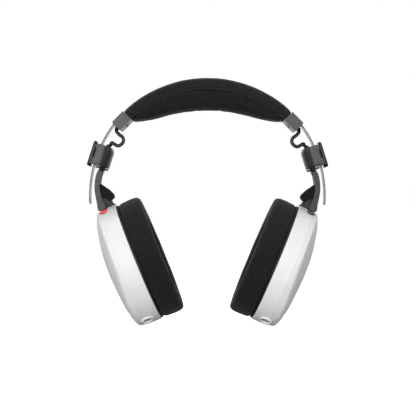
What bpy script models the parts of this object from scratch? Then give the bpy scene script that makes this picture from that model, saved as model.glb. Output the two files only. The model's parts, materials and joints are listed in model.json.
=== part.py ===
"""Over-ear headset: sprung steel headband, sliding blocks with lock levers,
swivelling forks and tilting ear cups.

Frame: metres, +Z up. The origin is the point where the headband cushion rests on
the crown of the head. -Y is the wearer's front. The wearer's right ear is at -X.
Dimensions below are in millimetres and are scaled by MM when a mesh is made.
The right side is modelled, and the left side is its mirror image about X = 0.
"""

import math

import bmesh
import bpy
from mathutils import Matrix, Vector

MM = 0.001
GAP = 0.3  # clearance between pieces that touch

# --- headband -------------------------------------------------------------------
BAND_CENTRE_Z = -71.3  # centre of the arcs of the upper band
COVER_R = 97.1  # outer radius of the cover at its crown line
SEAM_R = 88.3  # radius of the seam between the cover and the cushion
BAND_HALF_ANGLE = 43.6  # degrees from the crown to the end of the cover
BAND_HALF_WIDTH = 16.5
CUSHION_UNDER = ((0.0, 71.3), (8.6, 71.9), (20.8, 73.6), (32.6, 76.8), (39.5, 80.6), (42.4, 84.0), (43.3, 86.4))

# --- steel strip ----------------------------------------------------------------
STRIP_WIDTH = 20.0
STRIP_THICK = 0.8
STRIP_TOP_R = 94.4
STRIP_TOP_HALF_ANGLE = 43.7
SIDE_R = 93.7  # radius of the stretch that the slider rides on
SIDE_CENTRE_Z = -68.0
SIDE_START = 36.0  # degrees above horizontal
SIDE_END = -4.4

# --- end cap --------------------------------------------------------------------
CAP_CENTRE = (-67.6, -10.0)
CAP_AXIS = (-0.700, -0.714)
CAP_LENGTH = 12.6
CAP_OUT, CAP_IN = 5.6, -3.8
CAP_HALF_WIDTH = 16.6
LEAD_R = 1.4

# --- slider ---------------------------------------------------------------------
SLIDER_ANGLE = 20.2  # where the slider's centre sits on the strip, at rest
SLIDER_TILT = 17.5  # its axis from the vertical
SLIDER_LEN = 16.8
SLIDER_OUT = 1.7
SLIDER_IN = -12.2
SLIDER_HALF_WIDTH = 14.0
SWIVEL_W = -6.9  # the swivel's axis, inboard of the strip
POST_R = 2.2
LEVER_LEN, LEVER_WIDTH, LEVER_THICK = 20.6, 12.0, 2.9
LEVER_W = 2.9  # underside of the lever
LEVER_U = 0.4
SCREW_U = -1.0

# --- yoke -----------------------------------------------------------------------
LEG_Y_IN, LEG_Y_OUT = 5.4, 9.0
PIVOT = (-84.03, -78.06)
PIN_R = 1.5
LUG_R = 9.5
WEB_R = 9.9

# --- ear cup --------------------------------------------------------------------
CUP_TILT = 22.6  # degrees between the ear pad's face and the vertical
CUP_ORIGIN = (-54.57, -121.25)
CUP_A, CUP_B = 49.0, 44.0  # half height and half depth of the shell
CUP_DEPTH = 15.4
DOME_EDGE, DOME_RISE = 16.1, 9.5
PAD_A, PAD_B = 48.4, 43.4
PAD_IN_A, PAD_IN_B = 30.0, 23.5
PAD_TOP, PAD_FACE = -2.1, -20.5
SOCKET_DIR = 26.0  # degrees forward of straight down the cup
SOCKET_H = 10.1
SEG = 40

for old in list(bpy.data.objects):
    bpy.data.objects.remove(old, do_unlink=True)


# --- helpers --------------------------------------------------------------------
def rad(a):
    return math.radians(a)


def frame(origin, u, n):
    """Local (x, y, z) to world: x along u and z along n, both in the XZ plane, y along Y."""
    m = Matrix.Identity(4)
    for i, axis in enumerate(((u[0], 0, u[1]), (0, 1, 0), (n[0], 0, n[1]))):
        for j in range(3):
            m[j][i] = axis[j]
    m[0][3], m[2][3] = origin
    return m


c, s = math.cos(rad(CUP_TILT)), math.sin(rad(CUP_TILT))
CUP = frame(CUP_ORIGIN, (s, -c), (-c, -s))
c, s = math.cos(rad(SLIDER_TILT)), math.sin(rad(SLIDER_TILT))
SLIDER_O = (-SIDE_R * math.cos(rad(SLIDER_ANGLE)), SIDE_CENTRE_Z + SIDE_R * math.sin(rad(SLIDER_ANGLE)))
SLIDER = frame(SLIDER_O, (-s, -c), (-c, s))
CAP = frame(CAP_CENTRE, CAP_AXIS, (CAP_AXIS[1], -CAP_AXIS[0]))
WORLD = Matrix.Identity(4)
PIVOT_W = Vector((PIVOT[0], 0, PIVOT[1]))
PIVOT_S, _, PIVOT_H = CUP.inverted() @ PIVOT_W
SWIVEL_PT = SLIDER @ Vector((0, 0, SWIVEL_W))
HEIGHT_PT = Vector((0, 0, SIDE_CENTRE_Z))
LOCK_PT = SLIDER @ Vector((SCREW_U, 0, LEVER_W))

MATERIALS = {
    "steel_strip": ((0.55, 0.55, 0.56), 0.3, 1.0),
    "cover_fabric": ((0.018, 0.018, 0.019), 0.9, 0.0),
    "cushion_fabric": ((0.016, 0.016, 0.017), 0.95, 0.0),
    "grey_metal": ((0.10, 0.10, 0.105), 0.38, 0.8),
    "dark_metal": ((0.02, 0.02, 0.022), 0.35, 0.6),
    "yoke_paint": ((0.028, 0.028, 0.03), 0.42, 0.3),
    "black_plastic": ((0.012, 0.012, 0.013), 0.5, 0.0),
    "white_shell": ((0.80, 0.80, 0.79), 0.38, 0.0),
    "red_clip": ((0.72, 0.03, 0.045), 0.45, 0.0),
    "grey_clip": ((0.06, 0.06, 0.062), 0.45, 0.0),
    "bright_steel": ((0.6, 0.6, 0.6), 0.28, 1.0),
    "bronze": ((0.45, 0.28, 0.12), 0.35, 1.0),
    "brake_rubber": ((0.03, 0.03, 0.03), 0.8, 0.0),
    "lead_rubber": ((0.012, 0.012, 0.012), 0.4, 0.0),
    "socket_grey": ((0.30, 0.30, 0.30), 0.4, 0.2),
    "film": ((0.55, 0.5, 0.4), 0.25, 0.0),
    "foam": ((0.05, 0.05, 0.055), 0.95, 0.0),
    "board": ((0.02, 0.13, 0.05), 0.45, 0.0),
}


def material(slot):
    found = bpy.data.materials.get(slot)
    if found:
        return found
    colour, rough, metal = MATERIALS[slot]
    made = bpy.data.materials.new(slot)
    made.use_nodes = True
    shader = made.node_tree.nodes["Principled BSDF"]
    shader.inputs["Base Color"].default_value = (*colour, 1)
    shader.inputs["Roughness"].default_value = rough
    shader.inputs["Metallic"].default_value = metal
    made.diffuse_color = (*colour, 1)
    return made


MIRROR = Matrix.Diagonal((-1, 1, 1, 1))
SIDES = {"right": Matrix.Identity(4), "left": MIRROR}
empties = {}


def empty(name, at, parent=None):
    """An empty on a joint's axis, which the moving pieces are parented to."""
    made = bpy.data.objects.new(name, None)
    bpy.context.scene.collection.objects.link(made)
    made.empty_display_size = 0.01
    base = empties[parent][1] if parent else Vector((0, 0, 0))
    if parent:
        made.parent = empties[parent][0]
    made.location = (at - base) * MM
    empties[name] = (made, at)


def link(name, bm, to_world, slot, parent=None, smooth=35.0, helper=False):
    """Makes an object from a bmesh in local millimetres. Its mesh is placed by to_world."""
    at = empties[parent][1] if parent else Vector((0, 0, 0))
    bm.transform(Matrix.Translation(-at) @ to_world)
    bm.transform(Matrix.Scale(MM, 4))
    bmesh.ops.recalc_face_normals(bm, faces=bm.faces)
    if bm.calc_volume(signed=True) < 0:
        bmesh.ops.reverse_faces(bm, faces=bm.faces)
    mesh = bpy.data.meshes.new(name)
    bm.to_mesh(mesh)
    bm.free()
    if not helper:
        mesh.materials.append(material(slot))
        mesh.shade_smooth()
        mesh.set_sharp_from_angle(angle=rad(smooth))
    obj = bpy.data.objects.new(name, mesh)
    bpy.context.scene.collection.objects.link(obj)
    if parent:
        obj.parent = empties[parent][0]
    if helper:
        obj.hide_render = True
        obj.hide_viewport = False
        obj.display_type = "WIRE"
    return obj


def boolean(obj, bm, to_world, operation="DIFFERENCE", parent=None):
    helper = link(f"{obj.name}_tool{len(obj.modifiers)}", bm, to_world, None, parent, helper=True)
    mod = obj.modifiers.new(f"{operation.lower()}_{len(obj.modifiers)}", "BOOLEAN")
    mod.operation, mod.object, mod.solver = operation, helper, "EXACT"
    return obj


def bevel(obj, width, segments=2, angle=40.0):
    mod = obj.modifiers.new("edge_bevel", "BEVEL")
    mod.width, mod.segments, mod.limit_method, mod.angle_limit = width * MM, segments, "ANGLE", rad(angle)
    mod.use_clamp_overlap = True
    return obj


def loft(rings, loop=False, caps=True):
    """Quads between rings of points. loop joins the last ring to the first, and caps closes the ends.
    A ring of one point makes a fan."""
    bm = bmesh.new()
    rows = [[bm.verts.new(p) for p in ring] for ring in rings]
    pairs = list(zip(rows, rows[1:]))
    if loop:
        pairs.append((rows[-1], rows[0]))
    for a, b in pairs:
        n = max(len(a), len(b))
        for i in range(n):
            j = (i + 1) % n
            if len(a) == 1:
                bm.faces.new((a[0], b[j], b[i]))
            elif len(b) == 1:
                bm.faces.new((a[i], a[j], b[0]))
            else:
                bm.faces.new((a[i], a[j], b[j], b[i]))
    if not loop and caps:
        for row in (rows[0], rows[-1]):
            if len(row) > 2:
                bm.faces.new(row)
    return bm


def prism(outline, y0, y1):
    """An outline of (x, z) points, extruded along y."""
    return loft([[(x, y, z) for x, z in outline] for y in (y0, y1)])


def slab(x0, x1, y0, y1, z0, z1):
    return prism([(x0, z0), (x1, z0), (x1, z1), (x0, z1)], y0, y1)


def disc_rings(profile, centre=(0, 0), squash=None, n=SEG):
    """Rings about the z axis: each profile point is (radius, z), or ((a, b), z) for an ellipse."""
    rings = []
    for r, z in profile:
        a, b = r if isinstance(r, tuple) else (r, r * (squash or 1.0))
        rings.append(
            [(centre[0] + a * math.cos(2 * math.pi * k / n), centre[1] + b * math.sin(2 * math.pi * k / n), z) for k in range(n)]
        )
    return rings


def turned(profile, centre=(0, 0), n=SEG):
    """A closed ring section turned about z."""
    return loft(disc_rings(profile, centre, n=n), loop=True)


def plug(profile, centre=(0, 0), n=16):
    """A solid turned stack, closed with flat ends."""
    return loft(disc_rings(profile, centre, n=n))


def oriented(bm, at, direction):
    """Turns a solid made about +z so that z runs along direction, and moves it to at."""
    turn = Vector((0, 0, 1)).rotation_difference(Vector(direction)).to_matrix().to_4x4()
    bm.transform(Matrix.Translation(Vector(at)) @ turn)
    return bm


def rod(at, direction, length, radius, n=16):
    return oriented(plug([(radius, 0), (radius, length)], n=n), at, direction)


def arc_point(angle, radius, centre_z):
    """A point at an angle from the vertical, on the -X side when the angle is positive."""
    return Vector((-radius * math.sin(rad(angle)), 0, centre_z + radius * math.cos(rad(angle))))


def smooth_table(table, at):
    """Reads a table of (x, value) pairs with a smooth curve through its points."""
    at = min(max(at, table[0][0]), table[-1][0])
    for i in range(len(table) - 1):
        (x0, y0), (x1, y1) = table[i], table[i + 1]
        if at <= x1:
            before = table[i - 1] if i else (2 * x0 - x1, y1)
            after = table[i + 2] if i + 2 < len(table) else (x1 + (x1 - x0), 2 * y1 - y0)
            m0 = (y1 - before[1]) / (x1 - before[0]) * (x1 - x0)
            m1 = (after[1] - y0) / (after[0] - x0) * (x1 - x0)
            t = (at - x0) / (x1 - x0)
            return (
                y0 * (2 * t**3 - 3 * t**2 + 1) + m0 * (t**3 - 2 * t**2 + t) + y1 * (3 * t**2 - 2 * t**3) + m1 * (t**3 - t**2)
            )
    return table[-1][1]


def catmull(points, per=4):
    """A smooth curve through the route's points."""
    ext = [points[0] * 2 - points[1], *points, points[-1] * 2 - points[-2]]
    out = []
    for i in range(1, len(ext) - 2):
        p0, p1, p2, p3 = ext[i - 1 : i + 3]
        for k in range(per):
            t = k / per
            out.append(
                0.5 * ((2 * p1) + (p2 - p0) * t + (2 * p0 - 5 * p1 + 4 * p2 - p3) * t * t + (3 * p1 - p0 - 3 * p2 + p3) * t**3)
            )
    out.append(points[-1])
    return out


# --- steel strip ----------------------------------------------------------------
def strip_path():
    """(point, outward normal) from the crown to the free tip of the right side."""
    path = [(arc_point(a, STRIP_TOP_R, BAND_CENTRE_Z), a) for a in [STRIP_TOP_HALF_ANGLE * k / 11 for k in range(12)]]
    a0, b0 = path[-1][0], Vector((-SIDE_R * math.cos(rad(SIDE_START)), 0, SIDE_CENTRE_Z + SIDE_R * math.sin(rad(SIDE_START))))
    t0 = Vector((-math.cos(rad(STRIP_TOP_HALF_ANGLE)), 0, -math.sin(rad(STRIP_TOP_HALF_ANGLE))))
    t1 = Vector((-math.sin(rad(SIDE_START)), 0, -math.cos(rad(SIDE_START))))
    reach = (b0 - a0).length
    for k in range(1, 6):
        t = k / 6
        p = (
            a0 * (2 * t**3 - 3 * t**2 + 1)
            + t0 * reach * (t**3 - 2 * t**2 + t)
            + b0 * (3 * t**2 - 2 * t**3)
            + t1 * reach * (t**3 - t**2)
        )
        path.append((p, None))
    for k in range(13):
        a = SIDE_START + (SIDE_END - SIDE_START) * k / 12
        path.append((Vector((-SIDE_R * math.cos(rad(a)), 0, SIDE_CENTRE_Z + SIDE_R * math.sin(rad(a)))), 90 - a))
    points = [p for p, _ in path]
    out = []
    for i, p in enumerate(points):
        ahead = points[min(i + 1, len(points) - 1)] - points[max(i - 1, 0)]
        if i == 0:
            ahead = Vector((-1, 0, 0))
        ahead.normalize()
        out.append((p, Vector((ahead.z, 0, -ahead.x)), ahead))
    return out


half = strip_path()
whole = [(Vector((-p.x, 0, p.z)), Vector((-n.x, 0, n.z))) for p, n, _ in reversed(half[1:])] + [(p, n) for p, n, _ in half]
rings = []
for i, (p, n) in enumerate(whole):
    at_tip = i in (0, len(whole) - 1)
    w = STRIP_WIDTH / 2 - (1.6 if at_tip else 0)
    q = STRIP_THICK / 2
    rings.append([tuple(p + n * e + Vector((0, y, 0))) for y, e in ((-w, -q), (w, -q), (w, q), (-w, q))])
link("spring_band", loft(rings), WORLD, "steel_strip", smooth=20)

# --- headband cover and cushion ---------------------------------------------------
STATIONS = 20
angles = [-BAND_HALF_ANGLE + 2 * BAND_HALF_ANGLE * k / STATIONS for k in range(STATIONS + 1)]


def radial(angle, radius, y):
    p = arc_point(angle, radius, BAND_CENTRE_Z)
    return (p.x, y, p.z)


outer_section = ((-1.0, 0.3), (-1.0, 4.6), (-0.88, 6.9), (-0.5, 8.2), (0, 8.6), (0.5, 8.2), (0.88, 6.9), (1.0, 4.6), (1.0, 0.3), (0.5, -0.1), (0, -0.2), (-0.5, -0.1))
skin = [[radial(a, SEAM_R + e * (COVER_R - SEAM_R) / 8.6, y * BAND_HALF_WIDTH) for y, e in outer_section] for a in angles]
cover = link("headband_cover", loft(skin), WORLD, "cover_fabric", smooth=60)
tunnel = []
for a in [-BAND_HALF_ANGLE - 1.5 + (2 * BAND_HALF_ANGLE + 3) * k / 22 for k in range(23)]:
    tunnel.append([radial(a, STRIP_TOP_R + e, y) for y, e in ((-10.5, -0.9), (10.5, -0.9), (10.5, 0.9), (-10.5, 0.9))])
boolean(cover, loft(tunnel), WORLD)

rings = []
for a in angles:
    under = smooth_table(CUSHION_UNDER, abs(a))
    top = SEAM_R - 0.2 - GAP
    deep = top - under
    w = BAND_HALF_WIDTH + 0.2
    section = ((-1, 0.12), (-1.02, 0.45), (-0.9, 0.82), (-0.5, 0.985), (0, 1.0), (0.5, 0.985), (0.9, 0.82), (1.02, 0.45), (1, 0.12), (0.94, 0), (-0.94, 0))
    rings.append([radial(a, top - deep * e, y * w) for y, e in section])
link("headband_cushion", loft(rings), WORLD, "cushion_fabric", smooth=60)

# --- the two sides ----------------------------------------------------------------
for side, flip in SIDES.items():
    sign = 1 if side == "right" else -1
    at = lambda v: Vector((sign * v.x, v.y, v.z))
    H, L, S, T = (f"axis_{n}_{side}" for n in ("height", "lock", "swivel", "tilt"))
    empty(H, at(HEIGHT_PT))
    empty(L, at(LOCK_PT), H)
    empty(S, at(SWIVEL_PT), H)
    empty(T, at(PIVOT_W), S)
    cap, sld, cup, wld = flip @ CAP, flip @ SLIDER, flip @ CUP, flip

    # End cap: a bevelled block with the strip's slot, the lead's hole and a screw hole.
    hl = CAP_LENGTH / 2
    body = link(
        f"end_cap_{side}",
        prism([(-hl, CAP_IN), (hl - 0.9, CAP_IN), (hl, CAP_IN + 0.9), (hl, CAP_OUT - 0.4), (hl - 0.4, CAP_OUT), (-hl, CAP_OUT)], -CAP_HALF_WIDTH, CAP_HALF_WIDTH),
        cap,
        "grey_metal",
    )
    bevel(body, 0.6, 1)
    boolean(body, slab(-9, 9, -10.4, 10.4, 2.35, 4.75), cap)
    boolean(body, rod((hl - 4.5, 0, 0.4), (1, 0, 0), 8, LEAD_R + GAP, 12), cap)
    boolean(body, oriented(plug([(1.5, 0), (1.5, 4.4), (2.7, 4.4), (2.7, 9)], n=12), (-1.0, 0, 1.6), (0, 0, -1)), cap)
    link(
        f"end_cap_screw_{side}",
        oriented(plug([(1.2, 0), (1.2, 4.4), (2.4, 4.7), (2.4, 5.9)], n=12), (-1.0, 0, 1.3), (0, 0, -1)),
        cap,
        "bright_steel",
    )

    # Short captive lead, from the end cap's hole down to the slider's top.
    route = [CAP @ Vector((hl - 3.2, 0, 0.4)), CAP @ Vector((hl + 0.6, 0, 0.4))]
    route += [Vector((x, y, z)) for x, y, z in ((-73.0, -0.3, -16.9), (-70.8, -0.7, -19.6), (-68.3, -1.0, -21.5), (-67.3, -1.2, -24.2), (-68.7, -1.3, -27.1), (-71.6, -1.2, -28.6), (-74.3, -0.9, -27.5), (-76.6, -0.6, -26.2))]
    route += [SLIDER @ Vector((-10.4, -0.2, -7.4)), SLIDER @ Vector((-8.6, 0, -6.4)), SLIDER @ Vector((-5.4, 0, -6.2))]
    curve = bpy.data.curves.new(f"short_lead_{side}", "CURVE")
    curve.dimensions, curve.bevel_depth, curve.bevel_resolution, curve.use_fill_caps = "3D", LEAD_R * MM, 2, True
    points = catmull(route, 3)
    spline = curve.splines.new("POLY")
    spline.points.add(len(points) - 1)
    for point, p in zip(spline.points, points):
        point.co = (*(at(p) * MM), 1)
    curve.materials.append(material("lead_rubber"))
    bpy.context.scene.collection.objects.link(bpy.data.objects.new(f"short_lead_{side}", curve))

    # Slider: a block with a flat outer face and a D-shaped section towards the head.
    def d_section(u, inset=0.0, depth=SLIDER_IN, out=SLIDER_OUT, width=SLIDER_HALF_WIDTH, flat=-3.5):
        pts = [(u, -width + 1.0 + inset, out - inset), (u, -width + inset, out - 1.0 - inset)]
        for k in range(13):
            b = rad(180 - 15 * k)
            pts.append((u, (width - inset) * math.cos(b), flat + (depth + inset - flat) * math.sin(b)))
        pts += [(u, width - inset, out - 1.0 - inset), (u, width - 1.0 - inset, out - inset)]
        return pts

    hs = SLIDER_LEN / 2
    block = link(
        f"slider_housing_{side}",
        loft([d_section(-hs, 0.5, SLIDER_IN + 2.2), d_section(-hs + 0.5, 0, SLIDER_IN + 1.5), d_section(-hs + 2, 0, SLIDER_IN + 0.5), d_section(-hs + 4, 0), d_section(hs - 0.5, 0), d_section(hs, 0.5)]),
        sld,
        "grey_metal",
        H,
    )
    boolean(block, slab(-9, 9, -10.4, 10.4, -1.5, 0.8), sld, parent=H)
    boolean(block, slab(-6.0, 1.0, -6.3, 6.3, -3.0, -1.2), sld, parent=H)
    boolean(block, rod((SCREW_U, 0, 0.2), (0, 0, 1), 4, 1.6, 12), sld, parent=H)
    boolean(block, rod((2.0, 0, SWIVEL_W), (1, 0, 0), 9, 3.5, 16), sld, parent=H)
    boolean(block, rod((-4.6, 0, -6.2), (-1, 0, 0), 9, LEAD_R + GAP, 12), sld, parent=H)
    plate = link(
        f"slider_end_plate_{side}",
        loft([d_section(hs + GAP, 0.2, SLIDER_IN, -1.9, 13.4), d_section(hs + GAP + 1.3, 0.2, SLIDER_IN, -1.9, 13.4), d_section(hs + GAP + 1.7, 0.6, SLIDER_IN, -1.9, 13.4)]),
        sld,
        "grey_metal",
        H,
    )
    boolean(plate, rod((hs - 1, 0, SWIVEL_W), (1, 0, 0), 5, POST_R + GAP, 16), sld, parent=H)
    link(f"brake_pad_{side}", slab(-5.7, 0.7, -6.0, 6.0, -2.7, -1.1), sld, "brake_rubber", H)
    link(
        f"swivel_bush_{side}",
        oriented(turned([(POST_R + GAP, 0), (3.2, 0), (3.2, 5.4), (POST_R + GAP, 5.4)], n=16), (2.4, 0, SWIVEL_W), (1, 0, 0)),
        sld,
        "bronze",
        H,
    )

    # Lock lever: a rounded bar with a hub boss, on a threaded stud.
    hw, hb = LEVER_WIDTH / 2, LEVER_LEN / 2
    outline = []
    for k in range(5):
        a = rad(90 * k / 4)
        outline.append((hb - 2.5 + 2.5 * math.sin(a), -hw + 2.5 - 2.5 * math.cos(a)))
    outline += [(x, -y) for x, y in reversed(outline)]
    outline += [(-x, y) for x, y in reversed(outline)]

    def lever_ring(w, inset):
        return [(LEVER_U + x * (1 - inset / hb), y * (1 - inset / hw), w) for x, y in outline]

    lever = link(
        f"lock_lever_{side}",
        loft([lever_ring(LEVER_W, 0.5), lever_ring(LEVER_W + 0.5, 0), lever_ring(LEVER_W + LEVER_THICK - 0.7, 0), lever_ring(LEVER_W + LEVER_THICK, 0.7)]),
        sld,
        "dark_metal",
        L,
    )
    boolean(lever, oriented(plug([(3.4, 0), (4.2, 1.6)], n=16), (SCREW_U, 0, SLIDER_OUT + GAP), (0, 0, 1)), sld, "UNION", L)
    boolean(lever, slab(LEVER_U + hb - 2.4, LEVER_U + hb + 0.2, -3.6, 3.6, LEVER_W - 0.9, LEVER_W + 0.6), sld, "UNION", L)
    boolean(lever, rod((SCREW_U, 0, 0.5), (0, 0, 1), LEVER_W + 1.2, 1.6, 12), sld, parent=L)
    link(f"lock_screw_{side}", rod((SCREW_U, 0, 0.85), (0, 0, 1), LEVER_W + 0.5, 1.3, 12), sld, "bright_steel", L)

    # Yoke: two legs, a crossbar with the swivel post, and the web between the legs.
    top = SLIDER @ Vector((11.3, 0, SWIVEL_W))
    centre = ((top.x, top.z, 1.9), (-86.4, -51.8, 2.1), (-87.5, -57.4, 2.15), (-87.7, -63.1, 2.2), (-86.8, -68.7, 2.3), (-85.6, -73.2, 2.55), (-84.7, -76.2, 3.0))
    mids = [Vector((x, 0, z)) for x, z, _ in centre]
    lefts, rights = [], []
    for i, (m, (_, _, w)) in enumerate(zip(mids, centre)):
        d = (mids[min(i + 1, len(mids) - 1)] - mids[max(i - 1, 0)]).normalized()
        side_dir = Vector((d.z, 0, -d.x))
        lefts.append(m + side_dir * w)
        rights.append(m - side_dir * w)
    foot = []
    for k in range(9):
        a = rad(200 - 220 * k / 8)
        foot.append(CUP @ Vector((PIVOT_S + 2.3 * abs(math.sin(a)) ** 0.8 * (1 if math.sin(a) > 0 else -1), 0, PIVOT_H - 3.2 * math.cos(a))))
    # lefts lie outboard, and the foot runs from the outboard side round to the inboard side
    if (foot[0] - lefts[-1]).length > (foot[-1] - lefts[-1]).length:
        foot.reverse()
    leg_outline = [(p.x, p.z) for p in lefts + foot + list(reversed(rights))]
    yoke = link(f"yoke_{side}", prism(leg_outline, LEG_Y_IN, LEG_Y_OUT), wld, "yoke_paint", S)
    boolean(yoke, prism(leg_outline, -LEG_Y_OUT, -LEG_Y_IN), wld, "UNION", S)
    web = [Vector((x, 0, z)) for x, z in ((-88.0, -60.2), (-86.2, -58.6), (-84.6, -59.5), (-82.3, -61.1), (-78.9, -63.4), (-76.1, -66.0), (-74.6, -67.7), (-74.15, -69.7))]
    under = []
    for k in range(9):
        a = rad(14 + (100 - 14) * k / 8)
        under.append(CUP @ Vector((PIVOT_S - WEB_R * math.sin(a), 0, PIVOT_H - WEB_R * math.cos(a))))
    web_outline = [(p.x, p.z) for p in web + under] + [(-87.6, -66.5), (-88.6, -63.2)]
    boolean(yoke, prism(web_outline, -LEG_Y_IN - 0.4, LEG_Y_IN + 0.4), wld, "UNION", S)
    bar = [SLIDER @ Vector((u, 0, w)) for u, w in ((10.75, SWIVEL_W - 2.3), (10.75, SWIVEL_W + 2.3), (13.0, SWIVEL_W + 2.1), (13.0, SWIVEL_W - 2.1))]
    boolean(yoke, prism([(p.x, p.z) for p in bar], -LEG_Y_OUT + 0.3, LEG_Y_OUT - 0.3), wld, "UNION", S)
    boolean(yoke, rod((12.0, 0, SWIVEL_W), (-1, 0, 0), 9.2, POST_R, 16), sld, "UNION", S)
    for y in (-1, 1):
        boolean(yoke, rod((PIVOT[0], y * (LEG_Y_IN - 0.5), PIVOT[1]), (0, y, 0), 3.4, PIN_R + GAP, 12), wld, parent=S)
    link(f"pivot_pin_{side}", rod((PIVOT[0], -8.0, PIVOT[1]), (0, 1, 0), 16.0, PIN_R, 12), wld, "bright_steel", S)

    for name, y in (("front", -1), ("rear", 1)):
        inner, outer = [], []
        for k in range(9):
            a = rad(28 + (152 - 28) * k / 8)
            outer.append((PIVOT_S + 5.15 * math.sin(a), PIVOT_H - 5.15 * math.cos(a)))
            inner.append((PIVOT_S + 2.65 * abs(math.sin(a)) ** 0.8, PIVOT_H - 3.55 * math.cos(a)))
        clip_outline = outer + list(reversed(inner))
        y0, y1 = sorted((y * (LEG_Y_IN + 0.1), y * (LEG_Y_OUT - 0.1)))
        link(f"id_clip_{name}_{side}", prism(clip_outline, y0, y1), cup, "red_clip" if side == "right" else "grey_clip", S)

    # Ear cup shell: an oval band with an inner ledge, notched for the yoke's feet.
    def oval(inset, h):
        return ((CUP_A - inset, CUP_B - inset), h)

    shell = link(
        f"cup_housing_{side}",
        turned([oval(0.5, 0), oval(0, 0.5), oval(0, CUP_DEPTH - 0.8), oval(0.7, CUP_DEPTH), oval(7.0, CUP_DEPTH), oval(7.0, CUP_DEPTH - 1.8), ((CUP_A - 4.6, CUP_B - 3.2), CUP_DEPTH - 2.6), ((CUP_A - 4.6, CUP_B - 3.2), 0)]),
        cup,
        "white_shell",
        T,
    )
    for y in (-1, 1):
        boolean(shell, rod((PIVOT_S, y * (LEG_Y_IN - 0.3), PIVOT_H), (0, y, 0), 13, 5.55, 20), cup, parent=T)
    sa = rad(SOCKET_DIR)
    s_dir = Vector((math.cos(sa), -math.sin(sa), 0))
    ratio = math.tan(sa) * CUP_B**2 / CUP_A**2
    s_s = CUP_A / math.sqrt(1 + (ratio * CUP_A / CUP_B) ** 2)
    s_at = Vector((s_s, -ratio * s_s, SOCKET_H))
    boolean(shell, rod(s_at - s_dir * 9, s_dir, 14, 4.6, 20), cup, parent=T)
    link(
        f"audio_socket_{side}",
        oriented(turned([(1.8, -8), (4.3, -8), (4.3, 0.8), (3.75, 1.1), (3.75, -3.4), (1.8, -3.4)], n=20), s_at, s_dir),
        cup,
        "socket_grey",
        T,
    )
    s_in = s_at - s_dir * 13.5
    board = link(f"terminal_board_{side}", slab(s_in.x - 4.5, s_in.x + 2.0, s_in.y - 6, s_in.y + 6, 9.0, 10.2), cup, "board", T)

    # Domed outer cover with a shallow finger scoop at its lower end.
    def dome(rho, k, drop=0.0):
        a = 2 * math.pi * k / SEG
        x, y = (CUP_A - 0.9) * rho * math.cos(a), (CUP_B - 0.9) * rho * math.sin(a)
        lean = max(-1.0, min(1.0, x / 30))
        h = DOME_EDGE + DOME_RISE * max(0.0, 1 - rho * rho) ** (0.675 - (0.28 if lean > 0 else 0.175) * lean)
        q = ((x - 34.5) / 6.5) ** 2 + (y / 13.0) ** 2
        if q < 1:
            h -= 2.2 * (1 - q) ** 1.5
        return (x, y, h - drop)

    rhos = (1.0, 0.965, 0.89, 0.79, 0.70, 0.60, 0.42, 0.2)
    rings = [[dome(r, k) for k in range(SEG)] for r in rhos] + [[(0, 0, DOME_EDGE + DOME_RISE)]]
    inner = [[(0, 0, DOME_EDGE + DOME_RISE - 1.8)]] + [[dome(r, k, 1.8) for k in range(SEG)] for r in (0.42, 0.62, 0.79)]
    inner += [[(*dome(0.85, k)[:2], CUP_DEPTH + GAP + 0.6) for k in range(SEG)], [(*dome(0.86, k)[:2], CUP_DEPTH + GAP) for k in range(SEG)], [(*dome(1.0, k)[:2], CUP_DEPTH + GAP) for k in range(SEG)]]
    bm = loft(list(reversed(rings)) + list(reversed(inner)), caps=False)
    link(f"outer_cover_{side}", bm, cup, "white_shell", T)

    # Hinge lug on top of the shell.
    lug = [(-49.35, 14.2), (-53.0, 14.0)]
    for k in range(11):
        a = rad(76 - 76 * k / 10)
        lug.append((PIVOT_S - LUG_R * math.sin(a), PIVOT_H - LUG_R * math.cos(a)))
    lug += [(PIVOT_S + 0.7, PIVOT_H - 10.2), (-49.35, -0.6)]
    hinge = link(f"hinge_lug_{side}", prism(lug, -LEG_Y_IN + 0.6, LEG_Y_IN - 0.6), cup, "black_plastic", T)
    bevel(hinge, 0.5, 1)
    boolean(hinge, rod((PIVOT_S, -11, PIVOT_H), (0, 1, 0), 22, PIN_R + GAP, 12), cup, parent=T)

    # Inside the shell.
    baffle = link(f"baffle_{side}", turned([((44.0, 40.4), 0.3), ((44.0, 40.4), 3.2), (20.5, 3.2), (20.5, 0.3)]), cup, "black_plastic", T)
    for name, x in (("top", -39.5), ("bottom", 39.5)):
        boolean(baffle, plug([(2.7, 0.0), (2.7, 2.1), (1.5, 2.1), (1.5, 4.0)], (x, 0), 12), cup, parent=T)
        link(f"baffle_screw_{name}_{side}", plug([(2.4, 0.6), (2.4, 1.6), (1.2, 1.8), (1.2, 7.0)], (x, 0), 12), cup, "bright_steel", T)
    link(
        f"driver_frame_{side}",
        turned([(24.0, 3.5), (24.0, 4.6), (20.2, 4.6), (18.5, 8.2), (6.5, 8.2), (6.5, 7.2), (17.0, 7.2), (17.6, 3.5)], n=20),
        cup,
        "black_plastic",
        T,
    )
    film = [(5.0, 4.9), (10.5, 3.9), (14.0, 4.4), (17.2, 3.9), (17.2, 4.4), (14.0, 4.9), (10.5, 4.4), (5.0, 5.4)]
    link(f"diaphragm_{side}", loft([[(0, 0, 5.2)]] + disc_rings(film, n=20) + [[(0, 0, 5.7)]]), cup, "film", T)
    link(f"driver_magnet_{side}", turned([(12.5, 8.5), (12.5, 12.4), (11.8, 13.0), (3.0, 13.0), (3.0, 8.5)], n=20), cup, "bright_steel", T)
    link(f"damping_foam_{side}", turned([((26.0, 23.0), 13.6), ((26.0, 23.0), 16.6), (7.0, 16.6), (7.0, 13.6)], n=20), cup, "foam", T)

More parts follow.
